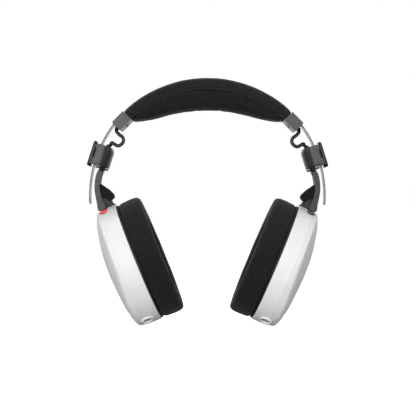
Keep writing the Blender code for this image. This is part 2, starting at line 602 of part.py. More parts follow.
    # Ear side: clip ring, grille and cushion.
    link(
        f"cushion_ring_{side}",
        turned([((48.3, 43.3), -0.3), ((35.0, 28.5), -0.3), ((35.0, 28.5), -1.8), ((47.8, 42.8), -1.8), ((48.3, 43.3), -1.4)]),
        cup,
        "black_plastic",
        T,
    )
    grille = link(f"driver_grille_{side}", plug([((34.6, 28.1), -0.4), ((34.6, 28.1), -1.5)], n=SEG), cup, "black_plastic", T)
    for k in range(-2, 3):
        reach = 17 - abs(k) * 2.5
        boolean(grille, slab(k * 7 - 1.6, k * 7 + 1.6, -reach, reach, -3, 1), cup, parent=T)
    link(
        f"ear_cushion_{side}",
        turned([
            ((PAD_A - 1.2, PAD_B - 1.2), PAD_TOP), ((PAD_A, PAD_B), PAD_TOP - 1.5), ((PAD_A + 0.2, PAD_B + 0.2), -10), ((PAD_A - 0.3, PAD_B - 0.3), PAD_FACE + 5.5),
            ((PAD_A - 1.9, PAD_B - 1.9), PAD_FACE + 2.0), ((PAD_A - 5.2, PAD_B - 5.2), PAD_FACE), ((PAD_IN_A + 4.5, PAD_IN_B + 4.5), PAD_FACE), ((PAD_IN_A + 1.2, PAD_IN_B + 1.2), PAD_FACE + 1.6),
            ((PAD_IN_A, PAD_IN_B), PAD_FACE + 5), ((PAD_IN_A, PAD_IN_B), PAD_TOP),
        ]),
        cup,
        "cushion_fabric",
        T,
        smooth=60,
    )
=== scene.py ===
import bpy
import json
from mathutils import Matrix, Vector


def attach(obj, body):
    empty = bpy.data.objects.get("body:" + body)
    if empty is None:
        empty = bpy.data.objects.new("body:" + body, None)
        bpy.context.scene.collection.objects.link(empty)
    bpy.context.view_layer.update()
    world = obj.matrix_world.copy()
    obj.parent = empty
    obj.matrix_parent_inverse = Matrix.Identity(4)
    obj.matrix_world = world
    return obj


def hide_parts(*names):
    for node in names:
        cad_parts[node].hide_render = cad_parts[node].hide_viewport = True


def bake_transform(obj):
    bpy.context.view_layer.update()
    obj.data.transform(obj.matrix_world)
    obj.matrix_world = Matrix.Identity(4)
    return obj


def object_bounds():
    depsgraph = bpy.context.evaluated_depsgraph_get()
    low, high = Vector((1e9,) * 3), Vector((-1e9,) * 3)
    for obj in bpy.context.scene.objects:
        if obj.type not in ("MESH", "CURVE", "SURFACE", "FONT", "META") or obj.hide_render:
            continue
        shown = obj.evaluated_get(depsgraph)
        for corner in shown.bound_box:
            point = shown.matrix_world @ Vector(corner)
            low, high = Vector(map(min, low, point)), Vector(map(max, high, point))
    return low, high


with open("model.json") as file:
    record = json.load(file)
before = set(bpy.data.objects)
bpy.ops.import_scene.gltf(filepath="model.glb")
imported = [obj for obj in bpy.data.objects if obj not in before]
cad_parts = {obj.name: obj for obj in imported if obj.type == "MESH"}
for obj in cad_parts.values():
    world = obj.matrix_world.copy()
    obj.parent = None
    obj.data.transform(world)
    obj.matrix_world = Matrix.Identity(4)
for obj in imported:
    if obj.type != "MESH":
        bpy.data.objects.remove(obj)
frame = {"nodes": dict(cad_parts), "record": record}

"""The looks of the over-ear headset: fine surfaces, soft pads and materials around
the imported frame. Local dimensions are in millimetres and become metres in make()."""

import json
import math

import bmesh
import bpy
import numpy as np
from mathutils import Matrix, Vector, noise

CAD_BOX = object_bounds()
NODES = frame["nodes"]
MM = 0.001

# --- camera, light and floor ------------------------------------------------------
scene = bpy.context.scene
scene.view_settings.view_transform = "Standard"
scene.view_settings.look = "None"
cam = bpy.data.objects.new("camera", bpy.data.cameras.new("camera"))
scene.collection.objects.link(cam)
cam.location = (0.00056, -1.25, -0.0780)
cam.rotation_euler = (math.radians(90), math.radians(-0.3), 0)
cam.data.lens, cam.data.sensor_width = 135, 36
cam.data.clip_start, cam.data.clip_end = 0.01, 50
scene.camera = cam


def area(name, at, target, size, power, colour=(1, 1, 1), shine=True):
    light = bpy.data.lights.new(name, "AREA")
    light.shape, light.size, light.size_y, light.energy, light.color = "RECTANGLE", size[0], size[1], power, colour
    obj = bpy.data.objects.new(name, light)
    obj.visible_glossy = shine
    scene.collection.objects.link(obj)
    obj.location = at
    obj.rotation_euler = (Vector(target) - Vector(at)).to_track_quat("-Z", "Y").to_euler()


area("key", (-0.50, -1.7, 0.12), (0, 0, -0.09), (1.0, 0.9), 9.6)
area("low", (-0.25, -1.5, -0.55), (0, 0, -0.12), (1.8, 0.5), 10.5, shine=False)
area("fill", (0.45, -1.7, 0.25), (0, 0, -0.09), (1.0, 0.9), 6.9)
area("top", (0, -0.25, 1.3), (0, 0, -0.05), (1.2, 0.8), 6.5)
area("rim", (0.0, 1.3, 0.35), (0, 0, -0.08), (1.6, 0.7), 1.5)
area("side_a", (-1.6, -0.35, 0.0), (0, 0, -0.1), (0.8, 0.8), 2.6)
area("side_b", (1.6, -0.35, 0.0), (0, 0, -0.1), (0.8, 0.8), 1.8)

world = bpy.data.worlds.new("studio")
scene.world = world
world.use_nodes = True
nt = world.node_tree
nt.nodes.clear()
out = nt.nodes.new("ShaderNodeOutputWorld")
mix = nt.nodes.new("ShaderNodeMixShader")
lit = nt.nodes.new("ShaderNodeBackground")
seen = nt.nodes.new("ShaderNodeBackground")
path = nt.nodes.new("ShaderNodeLightPath")
lit.inputs["Color"].default_value = (1, 1, 1, 1)
# the white wall behind the object is brighter than the rest of the room
direction = nt.nodes.new("ShaderNodeTexCoord")
split = nt.nodes.new("ShaderNodeSeparateXYZ")
wall = nt.nodes.new("ShaderNodeMapRange")
wall.interpolation_type = "SMOOTHSTEP"
wall.inputs["From Min"].default_value, wall.inputs["From Max"].default_value = 0.35, 0.95
wall.inputs["To Min"].default_value, wall.inputs["To Max"].default_value = 0.30, 1.05
nt.links.new(direction.outputs["Generated"], split.inputs[0])
nt.links.new(split.outputs["Y"], wall.inputs["Value"])
# and the floor below it is darker
under = nt.nodes.new("ShaderNodeMapRange")
under.interpolation_type = "SMOOTHSTEP"
under.inputs["From Min"].default_value, under.inputs["From Max"].default_value = -0.65, 0.05
under.inputs["To Min"].default_value, under.inputs["To Max"].default_value = 0.12, 1.0
both = nt.nodes.new("ShaderNodeMath")
both.operation = "MULTIPLY"
nt.links.new(split.outputs["Z"], under.inputs["Value"])
nt.links.new(wall.outputs["Result"], both.inputs[0])
nt.links.new(under.outputs["Result"], both.inputs[1])
nt.links.new(both.outputs[0], lit.inputs["Strength"])
seen.inputs["Color"].default_value, seen.inputs["Strength"].default_value = (1, 1, 1, 1), 1.0
nt.links.new(path.outputs["Is Camera Ray"], mix.inputs["Fac"])
nt.links.new(lit.outputs[0], mix.inputs[1])
nt.links.new(seen.outputs[0], mix.inputs[2])
nt.links.new(mix.outputs[0], out.inputs[0])


# --- materials --------------------------------------------------------------------
def material(name, base, rough, metal=0.0, grain=1500.0, grain_bump=0.2, grain_depth=0.00006, tone=0.12, tone_scale=160.0,
             rough_var=0.08, sheen=0.0, coat=0.0, coat_rough=0.15, wear=None, wear_amount=0.0, cells=0.0, cells_scale=1200.0,
             waves=0.0, waves_scale=900.0, subsurface=0.0, spec=0.5, aniso=0.0, sheen_tint=(1, 1, 1), folds=0.0, folds_scale=90.0):
    """A Principled material whose colour, roughness and bump all vary with procedural noise in object space."""
    m = bpy.data.materials.new(name)
    m.use_nodes = True
    m.diffuse_color = (*base, 1)
    t = m.node_tree
    n, link = t.nodes, t.links
    sh = n["Principled BSDF"]
    sh.inputs["Metallic"].default_value = metal
    sh.inputs["Specular IOR Level"].default_value = spec
    sh.inputs["Sheen Weight"].default_value = sheen
    sh.inputs["Sheen Roughness"].default_value = 0.5
    sh.inputs["Sheen Tint"].default_value = (*sheen_tint, 1)
    sh.inputs["Coat Weight"].default_value = coat
    sh.inputs["Coat Roughness"].default_value = coat_rough
    sh.inputs["Anisotropic"].default_value = aniso
    coord = n.new("ShaderNodeTexCoord")

    def tex_noise(scale, detail=4.0, roughness=0.55, distort=0.0):
        made = n.new("ShaderNodeTexNoise")
        made.inputs["Scale"].default_value = scale
        made.inputs["Detail"].default_value = detail
        made.inputs["Roughness"].default_value = roughness
        made.inputs["Distortion"].default_value = distort
        link.new(coord.outputs["Object"], made.inputs["Vector"])
        return made.outputs["Fac"]

    def ramp(value, lo, hi, a=0.3, b=0.7):
        made = n.new("ShaderNodeMapRange")
        made.inputs["From Min"].default_value, made.inputs["From Max"].default_value = a, b
        made.inputs["To Min"].default_value, made.inputs["To Max"].default_value = lo, hi
        link.new(value, made.inputs["Value"])
        return made.outputs["Result"]

    def mix_colour(fac, a, b):
        made = n.new("ShaderNodeMix")
        made.data_type = "RGBA"
        for socket, value in ((made.inputs[6], a), (made.inputs[7], b)):
            if isinstance(value, tuple):
                socket.default_value = (*value, 1)
            else:
                link.new(value, socket)
        link.new(fac, made.inputs[0])
        return made.outputs[2]

    dark = tuple(max(0.0, c * (1 - tone)) for c in base)
    light = tuple(min(1.0, c * (1 + tone)) for c in base)
    colour = mix_colour(ramp(tex_noise(tone_scale), 0, 1), dark, light)
    fine = tex_noise(grain, 3.0, 0.6)
    colour = mix_colour(ramp(fine, 0.0, 0.35, 0.35, 0.75), colour, tuple(min(1.0, c * (1 + 1.6 * tone)) for c in base))
    if wear:
        geo = n.new("ShaderNodeNewGeometry")
        edge = ramp(geo.outputs["Pointiness"], 0, wear_amount, 0.52, 0.60)
        colour = mix_colour(edge, colour, wear)
    link.new(colour, sh.inputs["Base Color"])
    link.new(ramp(tex_noise(tone_scale * 2.7, 5.0), max(0.02, rough - rough_var), min(1.0, rough + rough_var)), sh.inputs["Roughness"])

    height = fine
    strength = []

    def bump(value, amount, distance, before=None):
        made = n.new("ShaderNodeBump")
        made.inputs["Strength"].default_value = amount
        made.inputs["Distance"].default_value = distance
        link.new(value, made.inputs["Height"])
        if before is not None:
            link.new(before, made.inputs["Normal"])
        return made.outputs["Normal"]

    normal = bump(height, grain_bump, grain_depth)
    if cells:
        cell = n.new("ShaderNodeTexVoronoi")
        cell.feature = "F1"
        cell.inputs["Scale"].default_value = cells_scale
        link.new(coord.outputs["Object"], cell.inputs["Vector"])
        normal = bump(cell.outputs["Distance"], cells, 0.00012, normal)
    if waves:
        for direction in ("X", "Z"):
            wave = n.new("ShaderNodeTexWave")
            wave.bands_direction = direction
            wave.inputs["Scale"].default_value = waves_scale
            wave.inputs["Distortion"].default_value = 0.6
            wave.inputs["Detail"].default_value = 1.0
            link.new(coord.outputs["Object"], wave.inputs["Vector"])
            normal = bump(wave.outputs["Fac"], waves, 0.0001, normal)
    if folds:
        normal = bump(tex_noise(folds_scale, 2.0, 0.45, 0.4), folds, 0.0012, normal)
    link.new(normal, sh.inputs["Normal"])
    if coat:
        link.new(normal, sh.inputs["Coat Normal"])
    return m


MATERIALS = {
    "steel_strip": material("steel_strip", (0.105, 0.105, 0.107), 0.26, 1.0, grain=700, grain_bump=0.006, tone=0.04, rough_var=0.05),
    "cover_fabric": material("cover_fabric", (0.0118, 0.0118, 0.0123), 0.92, grain=2600, grain_bump=0.75, grain_depth=0.00016, tone=0.30, tone_scale=420, sheen=0.10, cells=0.35, cells_scale=1900, folds=0.25, folds_scale=120, spec=0.25),
    "cushion_fabric": material("cushion_fabric", (0.0100, 0.0100, 0.0104), 0.94, grain=2300, grain_bump=0.75, grain_depth=0.00018, tone=0.30, tone_scale=360, sheen=0.08, cells=0.35, cells_scale=1600, folds=0.3, folds_scale=100, spec=0.22),
    "grey_metal": material("grey_metal", (0.046, 0.046, 0.048), 0.31, 0.45, grain=1500, grain_bump=0.01, grain_depth=0.00003, tone=0.04, rough_var=0.03),
    "dark_metal": material("dark_metal", (0.008, 0.008, 0.0085), 0.27, 0.3, grain=1500, grain_bump=0.012, tone=0.08, spec=0.45),
    "yoke_paint": material("yoke_paint", (0.009, 0.009, 0.0095), 0.27, 0.12, grain=1500, grain_bump=0.012, grain_depth=0.00003, tone=0.08, coat=0.08, coat_rough=0.2, spec=0.42),
    "black_plastic": material("black_plastic", (0.0065, 0.0065, 0.007), 0.5, grain=1700, grain_bump=0.5, grain_depth=0.0001, tone=0.15, cells=0.12, cells_scale=1400),
    "white_shell": material("white_shell", (0.785, 0.785, 0.781), 0.48, grain=2400, grain_bump=0.16, grain_depth=0.00004, tone=0.018, tone_scale=70, rough_var=0.05, coat=0.05, coat_rough=0.30),
    "red_clip": material("red_clip", (0.80, 0.022, 0.038), 0.42, grain=2000, grain_bump=0.25, tone=0.08, rough_var=0.06),
    "grey_clip": material("grey_clip", (0.055, 0.055, 0.058), 0.44, grain=2000, grain_bump=0.3, tone=0.10, rough_var=0.06),
    "bright_steel": material("bright_steel", (0.58, 0.58, 0.585), 0.27, 1.0, grain=1500, grain_bump=0.12, tone=0.06, wear=(0.8, 0.8, 0.8), wear_amount=0.5),
    "bronze": material("bronze", (0.45, 0.28, 0.12), 0.38, 1.0, grain=1500, grain_bump=0.4, tone=0.14),
    "brake_rubber": material("brake_rubber", (0.03, 0.03, 0.03), 0.82, grain=1300, grain_bump=0.5, tone=0.15),
    "lead_rubber": material("lead_rubber", (0.006, 0.006, 0.0063), 0.32, grain=1600, grain_bump=0.1, tone=0.12, coat=0.1, coat_rough=0.25),
    "socket_grey": material("socket_grey", (0.32, 0.32, 0.325), 0.38, 0.1, grain=2000, grain_bump=0.2, tone=0.06, wear=(0.7, 0.7, 0.7), wear_amount=0.4),
    "film": material("film", (0.55, 0.5, 0.4), 0.25, grain=900, grain_bump=0.1, tone=0.06, coat=0.3),
    "foam": material("foam", (0.05, 0.05, 0.055), 0.95, grain=900, grain_bump=0.9, grain_depth=0.0003, tone=0.2, cells=0.8, cells_scale=700),
    "board": material("board", (0.02, 0.13, 0.05), 0.42, grain=900, grain_bump=0.1, tone=0.12, coat=0.3),
}
# a darker, duller copy of the yoke paint for the fork web: painted shade for the hollow between the legs
YOKE_PAINT_PAINTED_SHADE = material("yoke_paint_shadow", (0.005, 0.005, 0.0053), 0.46, 0.0, grain=1800, grain_bump=0.03, tone=0.12, spec=0.08)
THREAD = material("thread", (0.010, 0.010, 0.0105), 0.75, grain=5200, grain_bump=0.7, tone=0.25, sheen=0.1)

slot_of = {entry["node"]: entry["material_slot"] for entry in frame["record"]["subparts"]}
for name, obj in NODES.items():
    for i in range(max(1, len(obj.material_slots))):
        if len(obj.material_slots) <= i:
            obj.data.materials.append(MATERIALS[slot_of[name]])
        else:
            obj.material_slots[i].material = MATERIALS[slot_of[name]]

# --- the headset's driving dimensions, as in the frame ------------------------------
BAND_CENTRE_Z, COVER_R, SEAM_R, BAND_HALF_ANGLE, BAND_HALF_WIDTH = -71.3, 97.1, 88.3, 43.8, 16.5
CUSHION_UNDER = ((0.0, 71.3), (8.6, 71.7), (14.0, 72.35), (20.8, 73.6), (32.6, 76.8), (39.5, 80.6), (42.4, 84.0), (43.3, 86.4))
STRIP_WIDTH, STRIP_THICK, STRIP_TOP_R, STRIP_TOP_HALF_ANGLE = 20.0, 0.8, 94.4, 43.7
SIDE_R, SIDE_CENTRE_Z, SIDE_START, SIDE_END = 93.7, -68.0, 36.0, -4.4
CAP_CENTRE, CAP_AXIS, CAP_LENGTH = (-67.6, -10.0), (-0.700, -0.714), 12.6
CAP_OUT, CAP_IN, CAP_HALF_WIDTH, LEAD_R = 5.6, -3.8, 16.6, 1.4
SLIDER_ANGLE, SLIDER_TILT, SLIDER_LEN, SLIDER_OUT, SLIDER_IN, SLIDER_HALF_WIDTH = 20.2, 17.5, 16.8, 1.7, -12.2, 14.0
SWIVEL_W, POST_R = -6.9, 2.2
LEVER_LEN, LEVER_WIDTH, LEVER_THICK, LEVER_W, LEVER_U, SCREW_U = 20.6, 12.0, 2.9, 2.9, 0.4, -1.0
LEG_Y_IN, LEG_Y_OUT, PIVOT, PIN_R, LUG_R, WEB_R = 5.4, 9.0, (-84.03, -78.06), 1.5, 9.5, 9.9
CUP_TILT, CUP_ORIGIN, CUP_A, CUP_B, CUP_DEPTH = 22.6, (-54.57, -121.25), 49.0, 44.0, 15.4
DOME_EDGE, DOME_RISE = 16.1, 9.5
PAD_A, PAD_B, PAD_IN_A, PAD_IN_B, PAD_TOP, PAD_FACE = 48.4, 43.4, 30.0, 23.5, -2.1, -20.5
SOCKET_DIR, SOCKET_H, GAP = 26.0, 10.1, 0.3


def rad(a):
    return math.radians(a)


def placed(origin, u, n):
    m = Matrix.Identity(4)
    for i, axis in enumerate(((u[0], 0, u[1]), (0, 1, 0), (n[0], 0, n[1]))):
        for j in range(3):
            m[j][i] = axis[j]
    m[0][3], m[2][3] = origin
    return m


c, s = math.cos(rad(CUP_TILT)), math.sin(rad(CUP_TILT))
CUP = placed(CUP_ORIGIN, (s, -c), (-c, -s))
c, s = math.cos(rad(SLIDER_TILT)), math.sin(rad(SLIDER_TILT))
SLIDER = placed((-SIDE_R * math.cos(rad(SLIDER_ANGLE)), SIDE_CENTRE_Z + SIDE_R * math.sin(rad(SLIDER_ANGLE))), (-s, -c), (-c, s))
CAP = placed(CAP_CENTRE, CAP_AXIS, (CAP_AXIS[1], -CAP_AXIS[0]))
WORLD = Matrix.Identity(4)
PIVOT_W = Vector((PIVOT[0], 0, PIVOT[1]))
PIVOT_S, _, PIVOT_H = CUP.inverted() @ PIVOT_W
FLIPS = {"right": Matrix.Identity(4), "left": Matrix.Diagonal((-1, 1, 1, 1))}


# --- mesh helpers -----------------------------------------------------------------
def to_object(name, bm, to_world):
    bm.transform(Matrix.Scale(MM, 4) @ to_world)
    bmesh.ops.recalc_face_normals(bm, faces=bm.faces)
    if bm.calc_volume(signed=True) < 0:
        bmesh.ops.reverse_faces(bm, faces=bm.faces)
    mesh = bpy.data.meshes.new(name)
    bm.to_mesh(mesh)
    bm.free()
    obj = bpy.data.objects.new(name, mesh)
    scene.collection.objects.link(obj)
    return obj


def settle(obj):
    """Applies the object's modifiers to its mesh."""
    bpy.context.view_layer.update()
    made = bpy.data.meshes.new_from_object(obj.evaluated_get(bpy.context.evaluated_depsgraph_get()))
    obj.modifiers.clear()
    old = obj.data
    obj.data = made
    made.name = obj.name
    if old.users == 0:
        bpy.data.meshes.remove(old)
    return obj


def make(name, bm, to_world, slot, body, nodes=(), cuts=(), joins=(), bevel=0.0, segments=3, bevel_angle=30.0, smooth=32.0, flat_faces=False, mat=None):
    """One visible piece: its booleans, then rounded edges, then its material and its body."""
    obj = to_object(name, bm, to_world)
    tools = []
    for operation, group in (("UNION", joins), ("DIFFERENCE", cuts)):
        for tool_bm, tool_world in group:
            tool = to_object(f"{name}_tool", tool_bm, tool_world)
            mod = obj.modifiers.new("cut", "BOOLEAN")
            mod.operation, mod.object, mod.solver = operation, tool, "EXACT"
            tools.append(tool)
    if tools:
        settle(obj)
        for tool in tools:
            mesh = tool.data
            bpy.data.objects.remove(tool, do_unlink=True)
            bpy.data.meshes.remove(mesh)
        bm2 = bmesh.new()
        bm2.from_mesh(obj.data)
        bmesh.ops.remove_doubles(bm2, verts=bm2.verts, dist=2e-6)
        bmesh.ops.dissolve_degenerate(bm2, edges=bm2.edges, dist=1e-6)
        bm2.to_mesh(obj.data)
        bm2.free()
    obj.data.shade_smooth()
    if bevel:
        mod = obj.modifiers.new("round", "BEVEL")
        mod.width, mod.segments, mod.limit_method, mod.angle_limit = bevel * MM, segments, "ANGLE", rad(bevel_angle)
        mod.use_clamp_overlap = True
        mod.harden_normals = False
        settle(obj)
    obj.data.shade_smooth()
    obj.data.set_sharp_from_angle(angle=rad(smooth))
    mod = obj.modifiers.new("normals", "WEIGHTED_NORMAL")
    mod.keep_sharp = True
    settle(obj)
    return finish_piece(obj, slot, body, nodes, mat)


def finish_piece(obj, slot, body, nodes=(), mat=None):
    obj.data.materials.clear()
    obj.data.materials.append(mat or MATERIALS[slot])
    if body:
        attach(obj, body)
    if nodes:
        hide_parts(*nodes)
    return obj


def loft(rings, loop=False, caps=True):
    bm = bmesh.new()
    rows = [[bm.verts.new(p) for p in ring] for ring in rings]
    pairs = list(zip(rows, rows[1:]))
    if loop:
        pairs.append((rows[-1], rows[0]))
    for a, b in pairs:
        n = max(len(a), len(b))
        for i in range(n):
            j = (i + 1) % n
            if len(a) == 1:
                bm.faces.new((a[0], b[j], b[i]))
            elif len(b) == 1:
                bm.faces.new((a[i], a[j], b[0]))
            else:
                bm.faces.new((a[i], a[j], b[j], b[i]))
    if not loop and caps:
        for row in (rows[0], rows[-1]):
            if len(row) > 2:
                bm.faces.new(row)
    return bm


def prism(outline, y0, y1):
    return loft([[(x, y, z) for x, z in outline] for y in (y0, y1)])


def slab(x0, x1, y0, y1, z0, z1):
    return prism([(x0, z0), (x1, z0), (x1, z1), (x0, z1)], y0, y1)


def disc_rings(profile, centre=(0, 0), n=96):
    rings = []
    for r, z in profile:
        a, b = r if isinstance(r, tuple) else (r, r)
        rings.append([(centre[0] + a * math.cos(2 * math.pi * k / n), centre[1] + b * math.sin(2 * math.pi * k / n), z) for k in range(n)])
    return rings


def turned(profile, centre=(0, 0), n=96):
    return loft(disc_rings(profile, centre, n), loop=True)


def plug(profile, centre=(0, 0), n=32):
    return loft(disc_rings(profile, centre, n))


def oriented(bm, at, direction):
    turn = Vector((0, 0, 1)).rotation_difference(Vector(direction)).to_matrix().to_4x4()
    bm.transform(Matrix.Translation(Vector(at)) @ turn)
    return bm


def rod(at, direction, length, radius, n=32):
    return oriented(plug([(radius, 0), (radius, length)], n=n), at, direction)


def arc_point(angle, radius, centre_z):
    return Vector((-radius * math.sin(rad(angle)), 0, centre_z + radius * math.cos(rad(angle))))


def radial(angle, radius, y):
    p = arc_point(angle, radius, BAND_CENTRE_Z)
    return (p.x, y, p.z)


def smooth_table(table, at):
    at = min(max(at, table[0][0]), table[-1][0])
    for i in range(len(table) - 1):
        (x0, y0), (x1, y1) = table[i], table[i + 1]
        if at <= x1:
            before = table[i - 1] if i else (2 * x0 - x1, y1)
            after = table[i + 2] if i + 2 < len(table) else (x1 + (x1 - x0), 2 * y1 - y0)
            m0 = (y1 - before[1]) / (x1 - before[0]) * (x1 - x0)
            m1 = (after[1] - y0) / (after[0] - x0) * (x1 - x0)
            t = (at - x0) / (x1 - x0)
            return y0 * (2 * t**3 - 3 * t**2 + 1) + m0 * (t**3 - 2 * t**2 + t) + y1 * (3 * t**2 - 2 * t**3) + m1 * (t**3 - t**2)
    return table[-1][1]


def catmull(points, per=4, closed=False):
    points = [Vector(p) for p in points]
    if closed:
        ext = [points[-1], *points, points[0], points[1]]
    else:
        ext = [points[0] * 2 - points[1], *points, points[-1] * 2 - points[-2]]
    out = []
    for i in range(1, len(ext) - 2):
        p0, p1, p2, p3 = ext[i - 1 : i + 3]
        for k in range(per):
            t = k / per
            out.append(0.5 * ((2 * p1) + (p2 - p0) * t + (2 * p0 - 5 * p1 + 4 * p2 - p3) * t * t + (3 * p1 - p0 - 3 * p2 + p3) * t**3))
    if not closed:
        out.append(points[-1])
    return out


def even(points, count, closed=True):
    """Resamples a polyline to evenly spaced points."""
    pts = [Vector(p) for p in points]
    if closed:
        pts = pts + [pts[0]]
    lengths = [0.0]
    for a, b in zip(pts, pts[1:]):
        lengths.append(lengths[-1] + (b - a).length)
    total = lengths[-1]
    out, j = [], 0
    for k in range(count):
        want = total * k / (count if closed else count - 1)
        while j < len(lengths) - 2 and lengths[j + 1] < want:
            j += 1
        span = lengths[j + 1] - lengths[j]
        out.append(pts[j].lerp(pts[j + 1], (want - lengths[j]) / span if span else 0))
    return out


def rounded(bm, width, segments=4, least=50):
    """Rounds the sharp edges of a bmesh before it is used."""
    bmesh.ops.recalc_face_normals(bm, faces=bm.faces)
    sharp = [e for e in bm.edges if e.is_manifold and e.calc_face_angle(0) > rad(least)]
    bmesh.ops.bevel(bm, geom=sharp, offset=width, segments=segments, profile=0.5, affect="EDGES", clamp_overlap=True)
    return bm


def tube(points, radius, sides=12, closed=False):
    """A round tube along the points, with fixed reference frames carried along it."""
    points = [Vector(p) for p in points]
    n = len(points)
    rings, ref = [], None
    for i, p in enumerate(points):
        a = points[(i - 1) % n] if closed or i else points[0]
        b = points[(i + 1) % n] if closed or i < n - 1 else points[-1]
        d = (b - a).normalized()
        if ref is None:
            ref = d.orthogonal().normalized()
        ref = (ref - d * ref.dot(d)).normalized()
        side = d.cross(ref)
        r = radius(i / (n - 1)) if callable(radius) else radius
        rings.append([tuple(p + ref * (r * math.cos(2 * math.pi * k / sides)) + side * (r * math.sin(2 * math.pi * k / sides))) for k in range(sides)])
    if closed:
        # the last ring is joined straight to the first
        return loft(rings, loop=True)
    return loft(rings)


def joined(bms):
    """Several loose shells in one piece."""
    whole = bmesh.new()
    for bm in bms:
        mesh = bpy.data.meshes.new("part")
        bm.to_mesh(mesh)
        bm.free()
        whole.from_mesh(mesh)
        bpy.data.meshes.remove(mesh)
    return whole


def inflate(obj, pressure, cap, keep=None, frames=20):
    """Swells a closed shell with a cloth simulation, and holds each point to within cap of where it started."""
    start = np.empty(len(obj.data.vertices) * 3, np.float64)
    obj.data.vertices.foreach_get("co", start)
    start = start.reshape(-1, 3)
    mod = obj.modifiers.new("Cloth", "CLOTH")
    mod.settings.use_pressure = True
    mod.settings.uniform_pressure_force = pressure
    mod.settings.effector_weights.gravity = 0
    mod.settings.quality = 6
    mod.settings.tension_stiffness = mod.settings.compression_stiffness = 12
    mod.settings.bending_stiffness = 0.4
    mod.point_cache.frame_start, mod.point_cache.frame_end = 1, frames
    for f in range(1, frames + 1):
        scene.frame_set(f)
    graph = bpy.context.evaluated_depsgraph_get()
    shaped = obj.evaluated_get(graph).data
    end = np.empty(len(shaped.vertices) * 3, np.float64)
    shaped.vertices.foreach_get("co", end)
    end = end.reshape(-1, 3)
    obj.modifiers.remove(mod)
    scene.frame_set(1)
    if not np.isfinite(end).all():
        end = start.copy()
    move = end - start
    far = np.linalg.norm(move, axis=1, keepdims=True)
    limit = cap * MM
    move *= np.where(far > 1e-9, np.tanh(far / limit) * limit / np.maximum(far, 1e-9), 1.0)
    end = start + move
    if keep is not None:
        end = keep(end)
    obj.data.vertices.foreach_set("co", end.reshape(-1))
    obj.data.update()
    return obj


# --- steel strip ------------------------------------------------------------------
def strip_path():
    path = [arc_point(STRIP_TOP_HALF_ANGLE * k / 44, STRIP_TOP_R, BAND_CENTRE_Z) for k in range(45)]
    a0 = path[-1]
    b0 = Vector((-SIDE_R * math.cos(rad(SIDE_START)), 0, SIDE_CENTRE_Z + SIDE_R * math.sin(rad(SIDE_START))))
    t0 = Vector((-math.cos(rad(STRIP_TOP_HALF_ANGLE)), 0, -math.sin(rad(STRIP_TOP_HALF_ANGLE))))
    t1 = Vector((-math.sin(rad(SIDE_START)), 0, -math.cos(rad(SIDE_START))))
    reach = (b0 - a0).length
    for k in range(1, 16):
        t = k / 16
        path.append(a0 * (2 * t**3 - 3 * t**2 + 1) + t0 * reach * (t**3 - 2 * t**2 + t) + b0 * (3 * t**2 - 2 * t**3) + t1 * reach * (t**3 - t**2))
    for k in range(53):
        a = SIDE_START + (SIDE_END - SIDE_START) * k / 52
        path.append(Vector((-SIDE_R * math.cos(rad(a)), 0, SIDE_CENTRE_Z + SIDE_R * math.sin(rad(a)))))
    return path


half = strip_path()
whole = [Vector((-p.x, 0, p.z)) for p in reversed(half[1:])] + half
total = sum((b - a).length for a, b in zip(whole, whole[1:]))
run, rings = 0.0, []
for i, p in enumerate(whole):
    if i:
        run += (p - whole[i - 1]).length
    ahead = (whole[min(i + 1, len(whole) - 1)] - whole[max(i - 1, 0)]).normalized()
    n = Vector((ahead.z, 0, -ahead.x)) * (-1)
    n = n if n.dot(p - Vector((0, 0, BAND_CENTRE_Z))) > 0 else -n
    left = min(run, total - run)
    w, q = STRIP_WIDTH / 2, STRIP_THICK / 2
    if left < 4.0:
        w -= 4.0 - math.sqrt(max(0.0, 16.0 - (4.0 - left) ** 2)) * 1.0
    e = 0.16
    rings.append([tuple(p + n * h + Vector((0, y, 0))) for y, h in ((-w + e, -q), (w - e, -q), (w, -q + e), (w, q - e), (w - e, q), (-w + e, q), (-w, q - e), (-w, -q + e))])
make("steel_strip", loft(rings), WORLD, "steel_strip", "headband", ["spring_band"], smooth=25)


# --- headband cover ---------------------------------------------------------------
def wobble(p, scale, amount, seed=0.0):
    """A small smooth unevenness of cloth over foam."""
    return amount * noise.noise(Vector((p[0] * scale + seed, p[1] * scale - seed, p[2] * scale + 2 * seed)))


OUTER = ((-1.0, 0.5), (-1.004, 2.4), (-0.995, 4.6), (-0.93, 6.6), (-0.72, 7.9), (-0.38, 8.5), (0, 8.65), (0.38, 8.5), (0.72, 7.9), (0.93, 6.6), (0.995, 4.6), (1.004, 2.4), (1.0, 0.5), (0.93, -0.02), (0.5, -0.1), (0, -0.12), (-0.5, -0.1), (-0.93, -0.02))
section = even(catmull([(y * BAND_HALF_WIDTH, e, 0) for y, e in OUTER], 5, closed=True), 72)
STN = 110
rings, hollow = [], []
for k in range(STN + 1):
    a = -BAND_HALF_ANGLE + 2 * BAND_HALF_ANGLE * k / STN
    edge = min(k, STN - k) / STN
    pull = 0.55 * math.exp(-edge * 70)
    ring = []
    for i, q in enumerate(section):
        y, e = q.x, q.y
        up = max(0.0, e) / 8.6
        e2 = e - pull * up * 1.2
        y2 = y * (1 - pull * 0.035)
        p = Vector(radial(a, SEAM_R + e2 * (COVER_R - SEAM_R) / 8.6, y2))
        shift = wobble(p, 0.075, 0.16, 3.1) + wobble(p, 0.2, 0.06, 7.7)
        if up > 0.02:
            e2 += shift
        ring.append(radial(a, SEAM_R + e2 * (COVER_R - SEAM_R) / 8.6, y2 + shift * (0.6 if y > 0 else -0.6)))
    rings.append(ring)
    tunnel = []
    for q in section:
        ang = math.atan2((q.y - 4.3) * 2.6, q.x)
        cy, ce = math.cos(ang), math.sin(ang)
        grow = 1 / max(abs(cy), abs(ce))
        tunnel.append(radial(a, STRIP_TOP_R + 0.9 * ce * grow, 10.5 * cy * grow))
    hollow.append(tunnel)
